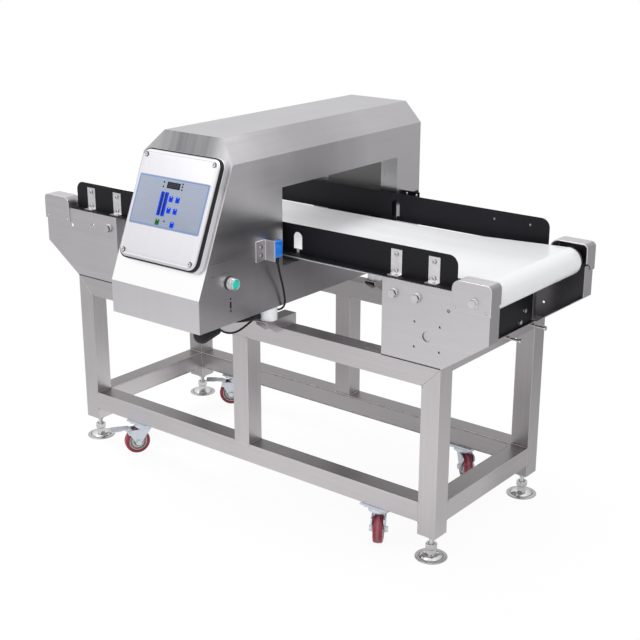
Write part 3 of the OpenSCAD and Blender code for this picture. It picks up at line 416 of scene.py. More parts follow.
def head_tones(s, colour):
    """Painted light and shade: a streaky band over the panel painted dark, slope and nose painted
    pale, the right face painted darker with a dark cloud by the tunnel's mouth.
    """
    x, y, z = s.xyz()
    nx, ny, nz = s.normal()
    streak = s.noise((55, 3, 3), detail=4, rough=0.7)
    across = s.times(s.span(x, -0.17, -0.03, 0.25, 1.0), s.span(x, 0.055, 0.115, 1.0, 0.0))
    broken = s.times(across, s.span(streak, 0.3, 0.7, 0.72, 1.0))
    # Painted shade: a dark band over the panel, broken by the grain's streaks
    band = s.times(s.span(ny, -0.55, -0.75), s.span(z, 0.90, 0.915))
    out = s.mix(s.times(band, broken), colour, (0.20, 0.205, 0.21))
    # Painted light on the slope, strongest low down
    front = s.times(s.span(nz, 0.15, 0.3), s.span(ny, -0.6, -0.8))
    out = s.mix(s.times(front, s.span(z, 0.86, 0.84)), out, (0.84, 0.83, 0.86))
    out = s.mix(s.times(front, s.span(z, 0.80, 0.66)), out, (1.0, 0.99, 1.0))
    # Painted light on the nose
    nose = s.times(s.span(ny, -0.9, -0.97), s.span(z, 0.63, 0.62))
    out = s.mix(s.times(nose, 0.42), out, (1.0, 0.98, 1.0))
    # Painted shade on the right face, darker still in a cloud by the tunnel's mouth
    right = s.span(nx, 0.6, 0.8)
    out = s.mix(s.times(right, 0.13), out, (0.03, 0.03, 0.03))
    mouth = s.swing(s.noise((3, 22, 3), detail=4, rough=0.6), 0.10, s.off(y, -0.02))
    mouth_shade = s.times(s.span(mouth, 0.03, 0.24, 1.0, 0.0), right)
    return s.mix(s.times(mouth_shade, 0.55), out, (0.26, 0.25, 0.26))


def brushed(s, axis):
    """Fine grain and broader streaks along one axis."""
    return (s.noise(grain_scale(axis, 900, 12), detail=2),
            s.noise(grain_scale(axis, 110, 3), detail=4, rough=0.65))


def steel(name, colour, rough=0.3, axis="x", contrast=0.10, cloud=0.06,
          welded=False, split=None, painted_light=None):
    """Brushed sheet or tube: fine grain, broader streaks, and soft clouds in tone and gloss.

    With split, faces that look along that axis are brushed along z instead."""
    s = Shade(name, rough, 1.0)
    fine, streak = brushed(s, axis)
    if split is not None:
        upright = brushed(s, "z")
        facing = s.span(s.math("ABSOLUTE", s.normal()[split]), 0.3, 0.5)
        fine, streak = s.between(facing, fine, upright[0]), s.between(facing, streak, upright[1])
    soft = s.noise((7, 7, 7), detail=3)
    tone = s.math("MULTIPLY_ADD", fine, 0.35, s.times(streak, 0.65))
    tone = s.span(s.swing(soft, cloud * 8, tone), 0.25, 0.75)
    out = s.mix(tone, scaled(colour, 1 - contrast), scaled(colour, 1 + contrast))
    if welded:
        out = s.mix(s.times(weld_tint(s), 0.75), out, (0.24, 0.18, 0.13))
    # Light and shade painted by the given tone function go on last
    s.color(painted_light(s, out) if painted_light else out)
    s.rough(s.swing(soft, 0.14, s.swing(streak, 0.16, rough)))
    s.bump(fine, 0.00005)
    return s.mat


def polished(name, colour, rough=0.16, sides=0.0):
    """Turned or polished steel with faint wear.

    With sides, faces that look neither along y nor, at the stand's ends, along x are painted darker,
    as painted shade."""
    s = Shade(name, rough, 1.0)
    wear = s.noise((60, 60, 60), detail=5, rough=0.6)
    tone = s.mix(s.span(wear, 0.3, 0.7), scaled(colour, 0.86), colour)
    # Painted shade on the sides
    if sides:
        nx, ny = s.normal()[:2]
        at_end = s.span(s.math("ABSOLUTE", s.xyz()[0]), 0.570, 0.572)
        along_x = s.times(s.math("ABSOLUTE", nx), at_end)
        facing = s.math("MAXIMUM", s.math("ABSOLUTE", ny), along_x)
        tone = s.mix(s.span(facing, 0.55, 0.75, sides, 0.0), tone, (0.06, 0.06, 0.062))
    s.color(tone)
    s.rough(s.span(wear, 0.3, 0.75, rough, rough + 0.14))
    s.bump(s.noise((700, 700, 700), detail=2), 0.00003)
    return s.mat


def foot_steel():
    """Spun pad of a levelling foot: mirror dome, with painted shade in the groove round it and at the
    collar's neck.
    """
    s = Shade("foot_steel", 0.10, 1.0)
    x, y, z = s.xyz()
    radius = s.length(x, y)
    wear = s.noise((60, 60, 60), detail=5, rough=0.6)
    pale = s.mix(s.span(wear, 0.3, 0.7), (0.66, 0.65, 0.66), (0.76, 0.75, 0.76))
    # Painted shade in the groove and at the neck
    groove = s.span(s.off(radius, 0.0287), 0.0006, 0.0012, 1.0, 0.0)
    neck = s.span(s.off(z, 0.0236), 0.0004, 0.0009, 1.0, 0.0)
    rim = s.span(radius, 0.0296, 0.0300)
    flat = s.mix(s.times(rim, 0.5), pale, (0.38, 0.37, 0.38))
    s.color(s.mix(s.times(s.math("MAXIMUM", groove, neck), 0.85), flat, (0.05, 0.05, 0.05)))
    s.rough(s.math("MULTIPLY_ADD", rim, 0.2, s.span(wear, 0.3, 0.75, 0.06, 0.16)))
    return s.mat


def moulded(name, colour, rough=0.45, shift=0.12, grain=0.00004, size=420, **sockets):
    """Moulded or coated surface: fine pebble and a slow drift in tone and gloss."""
    s = Shade(name, rough, 0.0, **sockets)
    drift = s.noise((14, 14, 14), detail=4, rough=0.6)
    s.color(s.mix(s.span(drift, 0.3, 0.7), scaled(colour, 1 - shift), scaled(colour, 1 + shift)))
    s.rough(s.span(drift, 0.3, 0.7, rough - 0.05, rough + 0.07))
    s.bump(s.noise((size, size, size), detail=2), grain)
    return s.mat


def tyre_rubber():
    """Crimson tread with a dull worn band round the middle and a glossy shoulder."""
    s = Shade("tyre_crimson", 0.34, 0.0, Coat_Weight=0.25)
    x, y, z = s.xyz()
    drift = s.noise((60, 60, 60), detail=4, rough=0.6)
    red = s.mix(s.span(drift, 0.3, 0.7), (0.22, 0.006, 0.022), (0.34, 0.012, 0.042))
    radius = s.length(x, y)
    height = s.math("MULTIPLY_ADD", drift, 0.002, s.math("ABSOLUTE", z))
    middle = s.span(height, 0.0035, 0.0055, 1.0, 0.0)
    worn = s.times(middle, s.span(radius, 0.0325, 0.0332))
    s.color(s.mix(s.times(worn, 0.6), red, (0.27, 0.17, 0.19)))
    s.rough(s.math("MULTIPLY_ADD", worn, 0.22, s.span(drift, 0.3, 0.7, 0.28, 0.40)))
    s.bump(s.noise((500, 500, 500), detail=2), 0.00004)
    return s.mat


def wheel_core():
    """Pale moulded hub with painted shade in its grooves."""
    s = Shade("wheel_core", 0.42)
    x, y = s.xyz()[:2]
    drift = s.noise((90, 90, 90), detail=4, rough=0.6)
    pale = s.mix(s.span(drift, 0.3, 0.7), (0.50, 0.485, 0.465), (0.60, 0.585, 0.565))
    radius = s.length(x, y)
    # Painted shade in the two grooves
    groove = s.math("MAXIMUM", s.span(s.off(radius, 0.0204), 0.0020, 0.0026, 1, 0),
                    s.span(s.off(radius, 0.0106), 0.0012, 0.0018, 1, 0))
    s.color(s.mix(s.times(groove, 0.8), pale, (0.14, 0.13, 0.12)))
    s.bump(drift, 0.00005)
    return s.mat


LINE_STEP = 5.2 * MM


def film_print():
    """Pale keypad film with fine level lines across it."""
    s = Shade("film_print", 0.36, 0.0, Specular_IOR_Level=0.35)
    drift = s.noise((8, 60, 8), detail=3)
    line = s.math("SINE", s.times(s.xyz()[1], 2 * math.pi / LINE_STEP))
    tone = s.swing(drift, 0.9, s.span(line, -1, 1))
    s.color(s.mix(s.span(tone, 0.0, 1.0), (0.315, 0.355, 0.45), (0.365, 0.41, 0.515)))
    s.bump(s.noise((900, 900, 900), detail=2), 0.00001)
    return s.mat


def belt_cover():
    """White belt: a glossy skin with cloudy wear along its travel, and painted shade that greys it
    towards both ends.
    """
    s = Shade("belt", 0.2, 0.0, IOR=1.5)
    wear = s.noise((3, 26, 26), detail=4, rough=0.6)
    spots = s.noise((45, 45, 45), detail=5, rough=0.7)
    tone = s.math("MULTIPLY_ADD", spots, 0.3, s.times(wear, 0.7))
    pale = s.mix(s.span(tone, 0.3, 0.7), (0.93, 0.935, 0.95), (0.98, 0.985, 0.995))
    x = s.xyz()[0]
    # Painted shade towards both ends of the belt
    ends = s.math("MAXIMUM", s.span(x, 0.22, 0.62, 0.0, 0.9), s.span(x, -0.14, -0.28))
    s.color(s.mix(ends, pale, (0.76, 0.765, 0.775)))
    s.rough(s.span(tone, 0.3, 0.7, 0.14, 0.26))
    s.bump(s.noise((420, 420, 420), detail=2), 0.000012)
    return s.mat


def tunnel_liner():
    """Grey liner of the tunnel, darker down beside the belt."""
    s = Shade("tunnel_liner", 0.36, 0.0)
    mottle = s.noise((30, 30, 30), detail=5, rough=0.65)
    height = s.swing(mottle, 0.02, s.xyz()[2])
    s.color(s.mix(s.span(height, 0.70, 0.84), (0.045, 0.044, 0.044), (0.27, 0.265, 0.26)))
    s.rough(s.span(mottle, 0.3, 0.7, 0.30, 0.44))
    return s.mat


STAND = (0.56, 0.535, 0.55)
MATS = {
    "stand_steel": steel("stand_steel", STAND, 0.36, "x", welded=True, painted_light=stand_tones),
    "plate_steel": steel("plate_steel", (0.66, 0.64, 0.665), 0.42, "x", 0.05, 0.03,
                         painted_light=plate_tones),
    "head_steel": steel("head_steel", (0.62, 0.605, 0.625), 0.32, "y", 0.05, 0.03, split=1,
                        painted_light=head_tones),
    "cover_steel": steel("cover_steel", (0.80, 0.79, 0.82), 0.42, "y", 0.03, 0.015),
    "bright_steel": polished("bright_steel", (0.72, 0.71, 0.72)),
    # Bolt and screw heads with painted shade on their sides
    "bolt_steel": polished("bolt_steel", (0.78, 0.77, 0.78), 0.2, 0.8),
    "clip_steel": polished("clip_steel", (0.90, 0.88, 0.90), 0.34),
    "zinc": polished("zinc", (0.76, 0.81, 0.88), 0.30),
    "roller_steel": steel("roller_steel", (0.58, 0.58, 0.60), 0.28, "x", 0.08),
    "black_paint": moulded("black_paint", (0.0105, 0.0105, 0.0140), 0.48, 0.15, 0.00008, 300,
                           Specular_IOR_Level=0.2),
    "belt": belt_cover(),
    "white_plastic": moulded("white_plastic", (0.94, 0.95, 0.98), 0.42, 0.03),
    "bed_plastic": moulded("bed_plastic", (0.70, 0.71, 0.73), 0.40, 0.04),
    "tread": tyre_rubber(),
    "black_rubber": moulded("black_rubber", (0.010, 0.010, 0.012), 0.55, 0.2, 0.00008, 260,
                            Specular_IOR_Level=0.35),
    "resin": tunnel_liner(),
    "copper": polished("copper", (0.72, 0.35, 0.18), 0.32),
    "board": moulded("board", (0.03, 0.18, 0.08), 0.35, 0.2),
    "film": film_print(),
    "lens": moulded("lens", (0.002, 0.66, 0.53), 0.12, 0.06, 0.00001, 200, IOR=1.5,
                    Coat_Weight=0.6),
    "sensor": moulded("sensor", (0.02, 0.23, 0.86), 0.20, 0.10, Coat_Weight=0.4),
}
STAND_BY_AXIS = {"x": MATS["stand_steel"]}
for axis in "yz":
    STAND_BY_AXIS[axis] = steel("stand_steel_" + axis, STAND, 0.36, axis, welded=True,
                                painted_light=stand_tones)
FOOT = foot_steel()
CORE = wheel_core()


def ink(name, colour, rough, shift, **sockets):
    """A smooth print on the film; the black one also serves for small dark parts."""
    return moulded("ink_" + name, colour, rough, shift, 0.00001, 900, **sockets)


INK_BLUE = ink("blue", (0.003, 0.070, 0.84), 0.45, 0.06, Specular_IOR_Level=0.04)
INK_BORDER = ink("border", (0.155, 0.29, 0.66), 0.36, 0.05)
INK_GREEN = ink("green", (0.004, 0.145, 0.02), 0.30, 0.08, Specular_IOR_Level=0.15)
INK_BLACK = ink("black", (0.006, 0.007, 0.012), 0.26, 0.1, Specular_IOR_Level=0.15)
INK_WHITE = ink("white", (0.78, 0.80, 0.84), 0.4, 0.04)
INK_GREY = ink("grey", (0.075, 0.078, 0.085), 0.35, 0.06)
RIM_STEEL = polished("rim_steel", (0.55, 0.54, 0.55), 0.22)
BEZEL = polished("bezel", (0.93, 0.92, 0.93), 0.18)
BEAD = polished("weld_bead", (0.56, 0.52, 0.48), 0.28)
RED_LENS = moulded("red_lens", (0.32, 0.01, 0.012), 0.1, 0.1, 0.00001, 300, Coat_Weight=0.6)
AMBER = moulded("amber_lamp", (0.85, 0.42, 0.03), 0.2, 0.08, 0.00001, 300)
# Dark rubber of the seals, also used as painted shade in the plates' seat gaps and the rollers'
# grooves
DARK_RING = moulded("dark_seal_and_shade", (0.03, 0.03, 0.034), 0.45, 0.15)


# Cable of the photo sensor: its route repeats the source's ------------

CABLE_D, CABLE_STEP = 5 * MM, 6 * MM
CABLE_EXIT = (164.5, -282, 678)
CABLE_ROUTE = [at(*p) for p in (
    CABLE_EXIT, (164.5, -282, 668), (163.5, -277, 650), (159.5, -266, 626),
    (155, -253, 600), (151.5, -243, 574), (149, -238, 552), (143, -237, 539),
    (132, -237, 531), (118, -237, 527), (104, -241, 524), (96, -252, 521),
    (92, -272, 516), (93, -298, 508), (96, -326, 502), (101, -355, 500),
    (106, -384, 504), (110, -410, 514), (113, -428, 525), (115, -437, 530),
    (115, -441, 530))]


def make_cable():
    points = smooth_route(CABLE_ROUTE, CABLE_STEP)
    data = bpy.data.curves.new("sensor_cable_sheath", "CURVE")
    data.dimensions = "3D"
    data.bevel_depth = CABLE_D / 2
    data.bevel_resolution = 4
    data.use_fill_caps = True
    line = data.splines.new("POLY")
    line.points.add(len(points) - 1)
    for p, co in zip(line.points, points):
        p.co = (*co, 1)
    obj = add("sensor_cable_sheath", data, FRAME, MATS["black_rubber"])
    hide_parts("sensor_cable")
    taper = lathe([(2.5, 0), (4.4, 0), (4.2, -3), (3.1, -16), (2.5, -16)], 24, loop=True)
    relief = piece("sensor_cable_relief", taper, FRAME, MATS["black_rubber"],
                   move(*CABLE_EXIT))


make_cable()


# Castors --------------------------------------------------------------

# Place of each swivel in x and y, and the heading of its fork in degrees
CASTORS = {"near_left": (-390, -213, -118), "far_left": (-420, 213, -141),
           "near_right": (422, -213, -60), "far_right": (394, 213, -43)}
TRAIL, AXLE_Z = 22, 36


def mirrored(profile):
    """A half profile of a wheel, and its other half."""
    return profile + [(r, -h) for r, h in reversed(profile)]


def make_wheels():
    tyre = mirrored([(25.3, 10.4), (26.6, 11.7), (30.6, 11.9), (32.6, 11.4), (33.9, 10.2),
                     (34.7, 8.2), (35.1, 5.4), (35.3, 3.0), (35.4, 1.0)])
    core = mirrored([(4.6, 13.6), (8.2, 13.6), (8.8, 13.1), (9.2, 9.3), (12.0, 9.1), (12.6, 10.4),
                     (13.4, 10.8), (17.2, 10.8), (17.8, 10.2), (18.2, 8.0), (22.6, 8.0), (23.0, 10.6),
                     (23.6, 11.2), (25.0, 11.0), (25.3, 10.4)])
    for corner, (x, y, heading) in CASTORS.items():
        place = (move(x, y, 0) @ turn(heading, "Z")
                 @ Matrix.Translation(Vector((TRAIL, 0, AXLE_Z)) * MM) @ turn(90, "X"))
        node = "castor_wheel_" + corner
        piece("tyre_" + corner, lathe(tyre, 72, loop=True), "wheel_" + corner,
              MATS["tread"], place, [node], crease=50)
        piece("wheel_core_" + corner, lathe(core, 56, loop=True), "wheel_" + corner,
              CORE, place, [node], crease=30)


def make_swivels():
    """Pressed domes over the swivel races, fixed under the rails."""
    dome = [(0, 76.4), (27.2, 76.4), (28.4, 77.4), (28.4, 80.0), (27.4, 83.6), (24.8, 87.0),
            (20.8, 89.3), (15.5, 90.6), (0, 90.8)]
    parts = [shifted(lathe(dome, 64), place=move(x, y, 0)) for x, y, _ in CASTORS.values()]
    piece("castor_domes", merged(parts), FRAME, MATS["zinc"], crease=40)


make_wheels()
make_swivels()


# Levelling feet -------------------------------------------------------

THREADS, PITCH, THREAD_LOW = 16, 1.75, 31
CREST, ROOT, STEM_TOP = 6.0, 5.55, 102


def make_feet():
    """Each foot in one turned form: pad, collar, and the stem with its threads."""
    threads = []
    for i in range(THREADS):
        z = THREAD_LOW + i * PITCH
        threads += [(ROOT, z), (CREST, z + 0.75)]
    pad_rim = [(0, 0.4), (36, 0.4), (38.2, 0), (39, 0.9), (38.8, 2.0), (37.8, 2.8), (33, 3.3),
               (29.8, 3.5), (29.3, 3.0), (28.6, 2.9)]
    dome = [(28.0, 3.4), (27.2, 4.8), (25, 7.0), (21.5, 9.2), (17.5, 10.6), (13.6, 11.2)]
    collar = [(12.4, 11.6), (12.0, 12.4), (12.0, 22.6), (11.4, 23.2), (11.4, 23.9), (13.4, 24.4),
              (14, 25.2), (14, 35.4), (13.4, 36.4), (12.4, 36.8), (10.2, 36.8), (9.6, 36.0),
              (9.4, 30.4), (6.2, 30.2)]
    profile = pad_rim + dome + collar + threads + [(CREST, 60), (CREST, STEM_TOP), (0, STEM_TOP)]
    for corner in CORNERS:
        x = -LEG_X if "left" in corner else LEG_X
        y = -LEG_Y if "near" in corner else LEG_Y
        node = "foot_" + corner
        piece("levelling_" + node, lathe(profile, 72), node, FOOT,
              move(x, y, 0), [node], crease=28)


make_feet()


# Control panel --------------------------------------------------------

# Millimetres on the slope; _MID is a middle, _H a height or thickness out of it
COVER_W, COVER_L, COVER_R, COVER_MID = 244, 256, 22, 189
GASKET_H, COVER_H, FRAME_H = 15, 6, 7.5
FRONT_H = GASKET_H + COVER_H
SCREW_X, SCREW_S = 107, 114
FILM_W, FILM_L, FILM_MID, FILM_H = 222, 118, 199, 0.8
KEY_H, MARK_H = 0.8, 0.12
# On the film, from its middle
KEY_AT = ((3.5, 11), (24.5, 11), (4.5, -15.5), (24.5, -15.5), (25, -46.5), (-22, -46.2))
LAMP_AT = ((-29.5, 47), (-29.5, 36.5), (29.5, 49), (29.5, 42.5), (29.5, 35.5), (-1.2, -41.5))
COLUMN_X, COLUMN_W, COLUMN_ENDS, TICKS = (-25, -12), 11, (-31, 25), 12
WINDOW_W, WINDOW_L, WINDOW_AT, WINDOW_H = 41, 15, (2, 41.8), 0.3
FIGURE_X = (-12.6, -4.2, 4.2, 12.6)


def make_cover():
    """Pressed cover: a flat face, a shallow line round it and a rolled rim, closed underneath."""
    rows = [(4.5, 3.2), (3.0, 2.0), (2.4, 0.0), (0.7, 0.0), (0.0, 0.6), (0.15, 1.9), (0.8, 3.3),
            (1.9, 4.5), (3.4, 5.4), (5.2, 5.9), (7.0, 6.0), (7.9, 5.86), (8.5, 5.62), (9.1, 5.86),
            (9.8, 6.0)]
    outlines = [(rounded(COVER_W - 2 * i, COVER_L - 2 * i, max(COVER_R - i, 6), 10), h)
                for i, h in rows]
    piece("panel_cover_pressed", stack(outlines), FRAME, MATS["cover_steel"],
          on_slope(0, COVER_MID, GASKET_H), ["panel_cover"], crease=60)
    seal = lathe([(3.2, 0), (6.4, 0), (6.2, 0.35), (5.2, 0.6), (4.6, 2.4), (3.2, 2.5)], 32, loop=True)
    rings = [shifted(seal, x, y) for x in (-SCREW_X, SCREW_X) for y in (-SCREW_S, SCREW_S)]
    piece("panel_screw_seals", merged(rings), FRAME, DARK_RING,
          on_slope(0, COVER_MID, FRONT_H))


def make_gasket():
    """Rubber gasket on a low steel frame round the window of the slope."""
    inner = rounded(210, 215, 22, 10)
    low, mid, high = (rounded(COVER_W + more, COVER_L + more, r, 10)
                      for more, r in ((9, 25.5), (7.4, 24.7), (6, 24)))
    place = on_slope(0, COVER_MID, 0)
    piece("panel_frame", stack([(inner, 0), (low, 0), (low, FRAME_H - 0.8), (mid, FRAME_H),
                                (inner, FRAME_H)], loop=True),
          FRAME, MATS["cover_steel"], place, ["panel_gasket"])
    piece("panel_seal", band(high, inner, FRAME_H, GASKET_H), FRAME,
          MATS["black_rubber"], place, ["panel_gasket"])


def bar(w, l, x, y):
    """A thin printed bar with round corners."""
    return shifted(pad(w, l, 0.4, 0, MARK_H, 0.05, 2), x, y)


def digit(x):
    """Seven unlit bars of one figure on the display."""
    flat = [bar(4.2, 0.9, x, y) for y in (-4.1, 0, 4.1)]
    return flat + [bar(0.9, 3.2, x + side, y) for side in (-2.6, 2.6) for y in (-2.05, 2.05)]


def arrow(x, y, degrees, size=3.0):
    corners = [math.radians(a + degrees) for a in (90, 210, 330)]
    return polygon([(x + size * math.cos(a), y + size * math.sin(a)) for a in corners], 0, MARK_H)


def on_film(name, form, material, x=0.0, s=0.0, h=FILM_H, stands_for=()):
    """A piece on the keypad film, x across and s up from its middle."""
    piece(name, form, FRAME, material, on_slope(x, FILM_MID + s, FRONT_H + h), stands_for)


def make_film():
    """The film with its border, its unlit display and its lamps."""
    on_film("film_sheet", pad(FILM_W, FILM_L, 4, 0, FILM_H, 0.2), MATS["film"], h=0,
            stands_for=["keypad_film"])
    on_film("film_border", band(rounded(FILM_W - 3.6, FILM_L - 3.6, 3),
                                rounded(FILM_W - 8.2, FILM_L - 8.2, 1.6), 0, 0.1), INK_BORDER)
    on_film("display_window", pad(WINDOW_W, WINDOW_L, 1, 0, WINDOW_H, 0.1), INK_BLACK, *WINDOW_AT)
    on_film("display_figures", merged([b for x in FIGURE_X for b in digit(x)]), INK_GREY,
            *WINDOW_AT, FILM_H + WINDOW_H)
    lamp = lathe([(0, 0), (2.2, 0), (2.0, 0.35), (0, 0.5)], 20)
    on_film("status_lamps", merged([shifted(lamp, x, y) for x, y in LAMP_AT]), INK_BLACK)


def make_columns():
    """Two blue bars with a dark strip along each, and a scale between them."""
    low, high = COLUMN_ENDS
    mid, tall = (low + high) / 2, high - low
    on_film("column_bars", merged([shifted(pad(COLUMN_W, tall, 2, 0, KEY_H, 0.3), x, mid)
                                   for x in COLUMN_X]), INK_BLUE)
    strip = pad(4.4, tall - 3, 0.8, 0, MARK_H, 0.05)
    on_film("column_strips", merged([shifted(strip, x + inset, mid)
                                     for x, inset in zip(COLUMN_X, (1.2, -1.2))]),
            INK_BLACK, h=FILM_H + KEY_H)
    ticks = [shifted(pad(1.7, 0.9, 0.3, 0, 0.9, 0.1, 2), sum(COLUMN_X) / 2,
                     low + 3 + i * (tall - 6) / (TICKS - 1)) for i in range(TICKS)]
    on_film("column_scale", merged(ticks), INK_WHITE)


def make_keys():
    """Five blue keys and a green one, with plain marks and a painted highlight, a white point, on
    each.
    """
    keys = [shifted(pad(12, 13.2, 2, 0, KEY_H, 0.35), x, y) for x, y in KEY_AT]
    on_film("keys_blue", merged(keys[:5]), INK_BLUE)
    on_film("key_green", keys[5], INK_GREEN)
    marks = [arrow(x, y, degrees) for (x, y), degrees in zip(KEY_AT, (0, 180, 90, 270))]
    ring = lathe([(2.0, 0), (3.0, 0), (3.0, MARK_H), (2.0, MARK_H)], 28, loop=True)
    for x, y in KEY_AT[4:]:
        marks += [shifted(ring, x, y), bar(0.9, 3.4, x, y + 2.4)]
    on_film("key_marks", merged(marks), INK_BLACK, h=FILM_H + KEY_H)
    # Painted highlight: a white point on each key
    glint = lathe([(0, 0), (1.1, 0), (0.9, MARK_H), (0, 0.14)], 16)
    on_film("key_glints", merged([shifted(glint, x + 0.6, y + 4.6) for x, y in KEY_AT]),
            INK_WHITE, h=FILM_H + KEY_H)


make_cover()
make_gasket()
make_film()
make_columns()
make_keys()


# Push button ----------------------------------------------------------

BUTTON_AT = (141, -424, 643)


def make_button():
    """Profiles from the head's right face outwards; only the lens moves."""
    place = move(*BUTTON_AT) @ turn(90, "Y")
    barrel = lathe([(0, -40), (8, -40), (8, -33), (11, -33), (11, 0), (0, 0)], 40)
    seal = lathe([(11.4, 0), (16, 0), (16, 2.6), (15.4, 3.6), (14, 4), (11.4, 4)], 56, loop=True)
    bezel = lathe([(11.4, 4), (14.5, 4), (14.5, 7.4), (14.0, 7.9), (14.0, 8.6), (14.5, 9.1),
                   (14.5, 13.2), (13.8, 14.6), (13.6, 18.6), (13.2, 20.4), (12.4, 21.2),
                   (11.5, 20.6)], 64, loop=True)
    lens = lathe([(0, 7), (10.9, 7), (10.9, 20.2), (10.6, 20.9), (9.8, 21.4), (8.6, 21.6),
                  (8.2, 21.2), (7.6, 21.6), (5.2, 22.2), (4.8, 22.0), (4.2, 22.3), (2.0, 22.5),
                  (0, 22.5)], 56)
    for name, form, material, crease in (("button_barrel", barrel, INK_BLACK, 35),
                                         ("button_seal", seal, DARK_RING, 35),
                                         ("button_bezel", bezel, BEZEL, 28)):
        piece(name, form, FRAME, material, place, ["button_housing"], crease)
    piece("button_lens", lens, "body_button_cap", MATS["lens"], place, ["button_cap"], 50)


make_button()


# Photo sensor ---------------------------------------------------------

SENSOR_X, SENSOR_Y, SENSOR_LOW, SENSOR_TOP = 164.5, -284, 678, 718
EYE_AT = (163, -270, 706)


def make_sensor():
    """Blue case with its eye towards the reflector, and two lamps and a trimmer on top."""
    body = [(rounded(13 - 2 * i, 28 - 2 * i, 2 - i * 0.6, 4), h)
            for i, h in ((1.0, 0), (0.3, 0.4), (0, 1.2), (0, 27.2), (0.4, 27.6), (0, 28.0), (0, 38.8),
                         (0.3, 39.6), (1.0, 40))]
    piece("sensor_body", stack(body), FRAME, MATS["sensor"],
          move(SENSOR_X, SENSOR_Y, SENSOR_LOW), ["photo_sensor"], crease=50)
    face, top = move(*EYE_AT) @ turn(-90, "X"), move(SENSOR_X, SENSOR_Y, SENSOR_TOP)
    ring = lathe([(3.4, -1), (5.2, -1), (5.2, 1.6), (4.8, 2), (3.4, 2)], 36, loop=True)
    eye = lathe([(0, -1), (3.4, -1), (3.4, 1.0), (2.2, 1.5), (0, 1.7)], 32)
    lamp = lathe([(0, -0.4), (1.3, -0.4), (1.2, 0.5), (0, 0.9)], 20)
    trimmer = lathe([(0, -0.4), (2.2, -0.4), (2.2, 0.5), (0, 0.6)], 24)
    for name, form, material, place in (
            ("sensor_eye_ring", ring, INK_BLACK, face), ("sensor_eye", eye, RED_LENS, face),
            ("sensor_lamps", merged([shifted(lamp, 0, y) for y in (-9, -4)]), AMBER, top),
            ("sensor_trim", shifted(trimmer, 0, 6), INK_GREY, top)):
        piece(name, form, FRAME, material, place)


make_sensor()


# Tapered rubber sleeve under the head, beside the bush -----------------

SLEEVE_ROUTE = ((108, -286, 521), (113, -300, 524), (124, -334, 530), (128, -365, 535),
                (126, -392, 540), (122, -402, 546))
SLEEVE_WIDE, SLEEVE_NARROW, SLEEVE_STEP = 7.0, 3.0, 4 * MM


def make_sleeve():
    path = smooth_route([at(*p) for p in SLEEVE_ROUTE], SLEEVE_STEP)
    n = len(path) - 1
    taper = SLEEVE_WIDE - SLEEVE_NARROW
    radii = [(SLEEVE_WIDE - taper * (i / n) ** 0.9) * MM for i in range(n + 1)]
    piece("lead_sleeve", sweep(path, radii, 20), FRAME, MATS["black_rubber"])


make_sleeve()


# Small parts of the conveyor ------------------------------------------

# Forms given from the middle of the stand take MIDDLE as their place
MIDDLE = move(0, 0, 0)
PLATE_Y, CAP_Y, PLATE_IN_X, PLATE_OUT_X = 238, 241, 436, 596
RETURN_X, LUG_X, BOLT_Z = 466, 528, 638.5
REFLECTOR_Y = 259


def make_washers():
    """Bright washers under the hexagon heads of the side plates."""
    ring = lathe([(6.6, 0), (10.2, 0), (10.2, 2.0), (9.6, 2.4), (6.6, 2.4)], 40, loop=True)
    spots = [(sx * RETURN_X, side, PLATE_Y, BOLT_Z) for sx in (-1, 1) for side in (-1, 1)]
    spots += [(x, side, PLATE_Y, BOLT_Z) for x, side in ((LUG_X, -1), (LUG_X, 1), (-LUG_X, 1))]
    spots += [(ROLLER_X, side, CAP_Y, ROLLER_Z) for side in (-1, 1)]
    forms = [shifted(ring, place=(Matrix.Translation(Vector((x, side * y, z)) * MM)
                                  @ turn(-90 * side, "X")))
             for x, side, y, z in spots]
    piece("plate_washers", merged(forms), FRAME, MATS["clip_steel"], MIDDLE)


def make_seat_gap_shade():
    """Painted shade: dark strips in the gap under the side plates, where they stand on the rails."""
    forms = []
    for sx in (-1, 1):
        for sy in (-1, 1):
            x0, x1 = sorted((sx * PLATE_IN_X, sx * PLATE_OUT_X))
            y0, y1 = sorted((sy * (PLATE_Y - 4), sy * (PLATE_Y + 1)))
            forms.append(slab_between((x0, y0, TOP_RAIL_TOP - 0.2), (x1, y1, TOP_RAIL_TOP + 2.2)))
    piece("plate_seat_gap_shade", merged(forms), FRAME, DARK_RING, MIDDLE)


def make_drive_guard():
    """Sheet close behind the holes of the near right plate."""
    piece("drive_guard", slab_between((505, -234.5, 503), (606, -233, 602)), FRAME,
          MATS["plate_steel"], MIDDLE)


def make_roller_rims():
    """Turned ends of the two end rollers, beside the belt, with dark rings of painted shade in their
    grooves.
    """
    face = [(28.4, 193.8), (29.4, 196.4), (31.2, 196.8), (32.2, 196.0), (32.2, 193.8)]
    ring = [(28.4, 188.6), (32.2, 188.6), (32.2, 192.4), (28.4, 192.4)]
    # Painted shade: dark rings in the grooves
    dark = [(28.0, 186.8), (31.2, 186.8), (31.2, 193.8), (28.0, 193.8)]
    for name, body, x in (("drive", "body_drive_drum", ROLLER_X),
                          ("tail", "body_tail_roller", -ROLLER_X)):
        place = move(x, 0, ROLLER_Z) @ turn(90, "X")
        for part, outlines, material in (("_rims", (face, ring), RIM_STEEL),
                                         ("_groove_shade", (dark,), DARK_RING)):
            rings = [lathe([(r, side * h) for r, h in line], 72, loop=True)
                     for line in outlines for side in (-1, 1)]
            piece(name + part, merged(rings), body, material, place, crease=25)


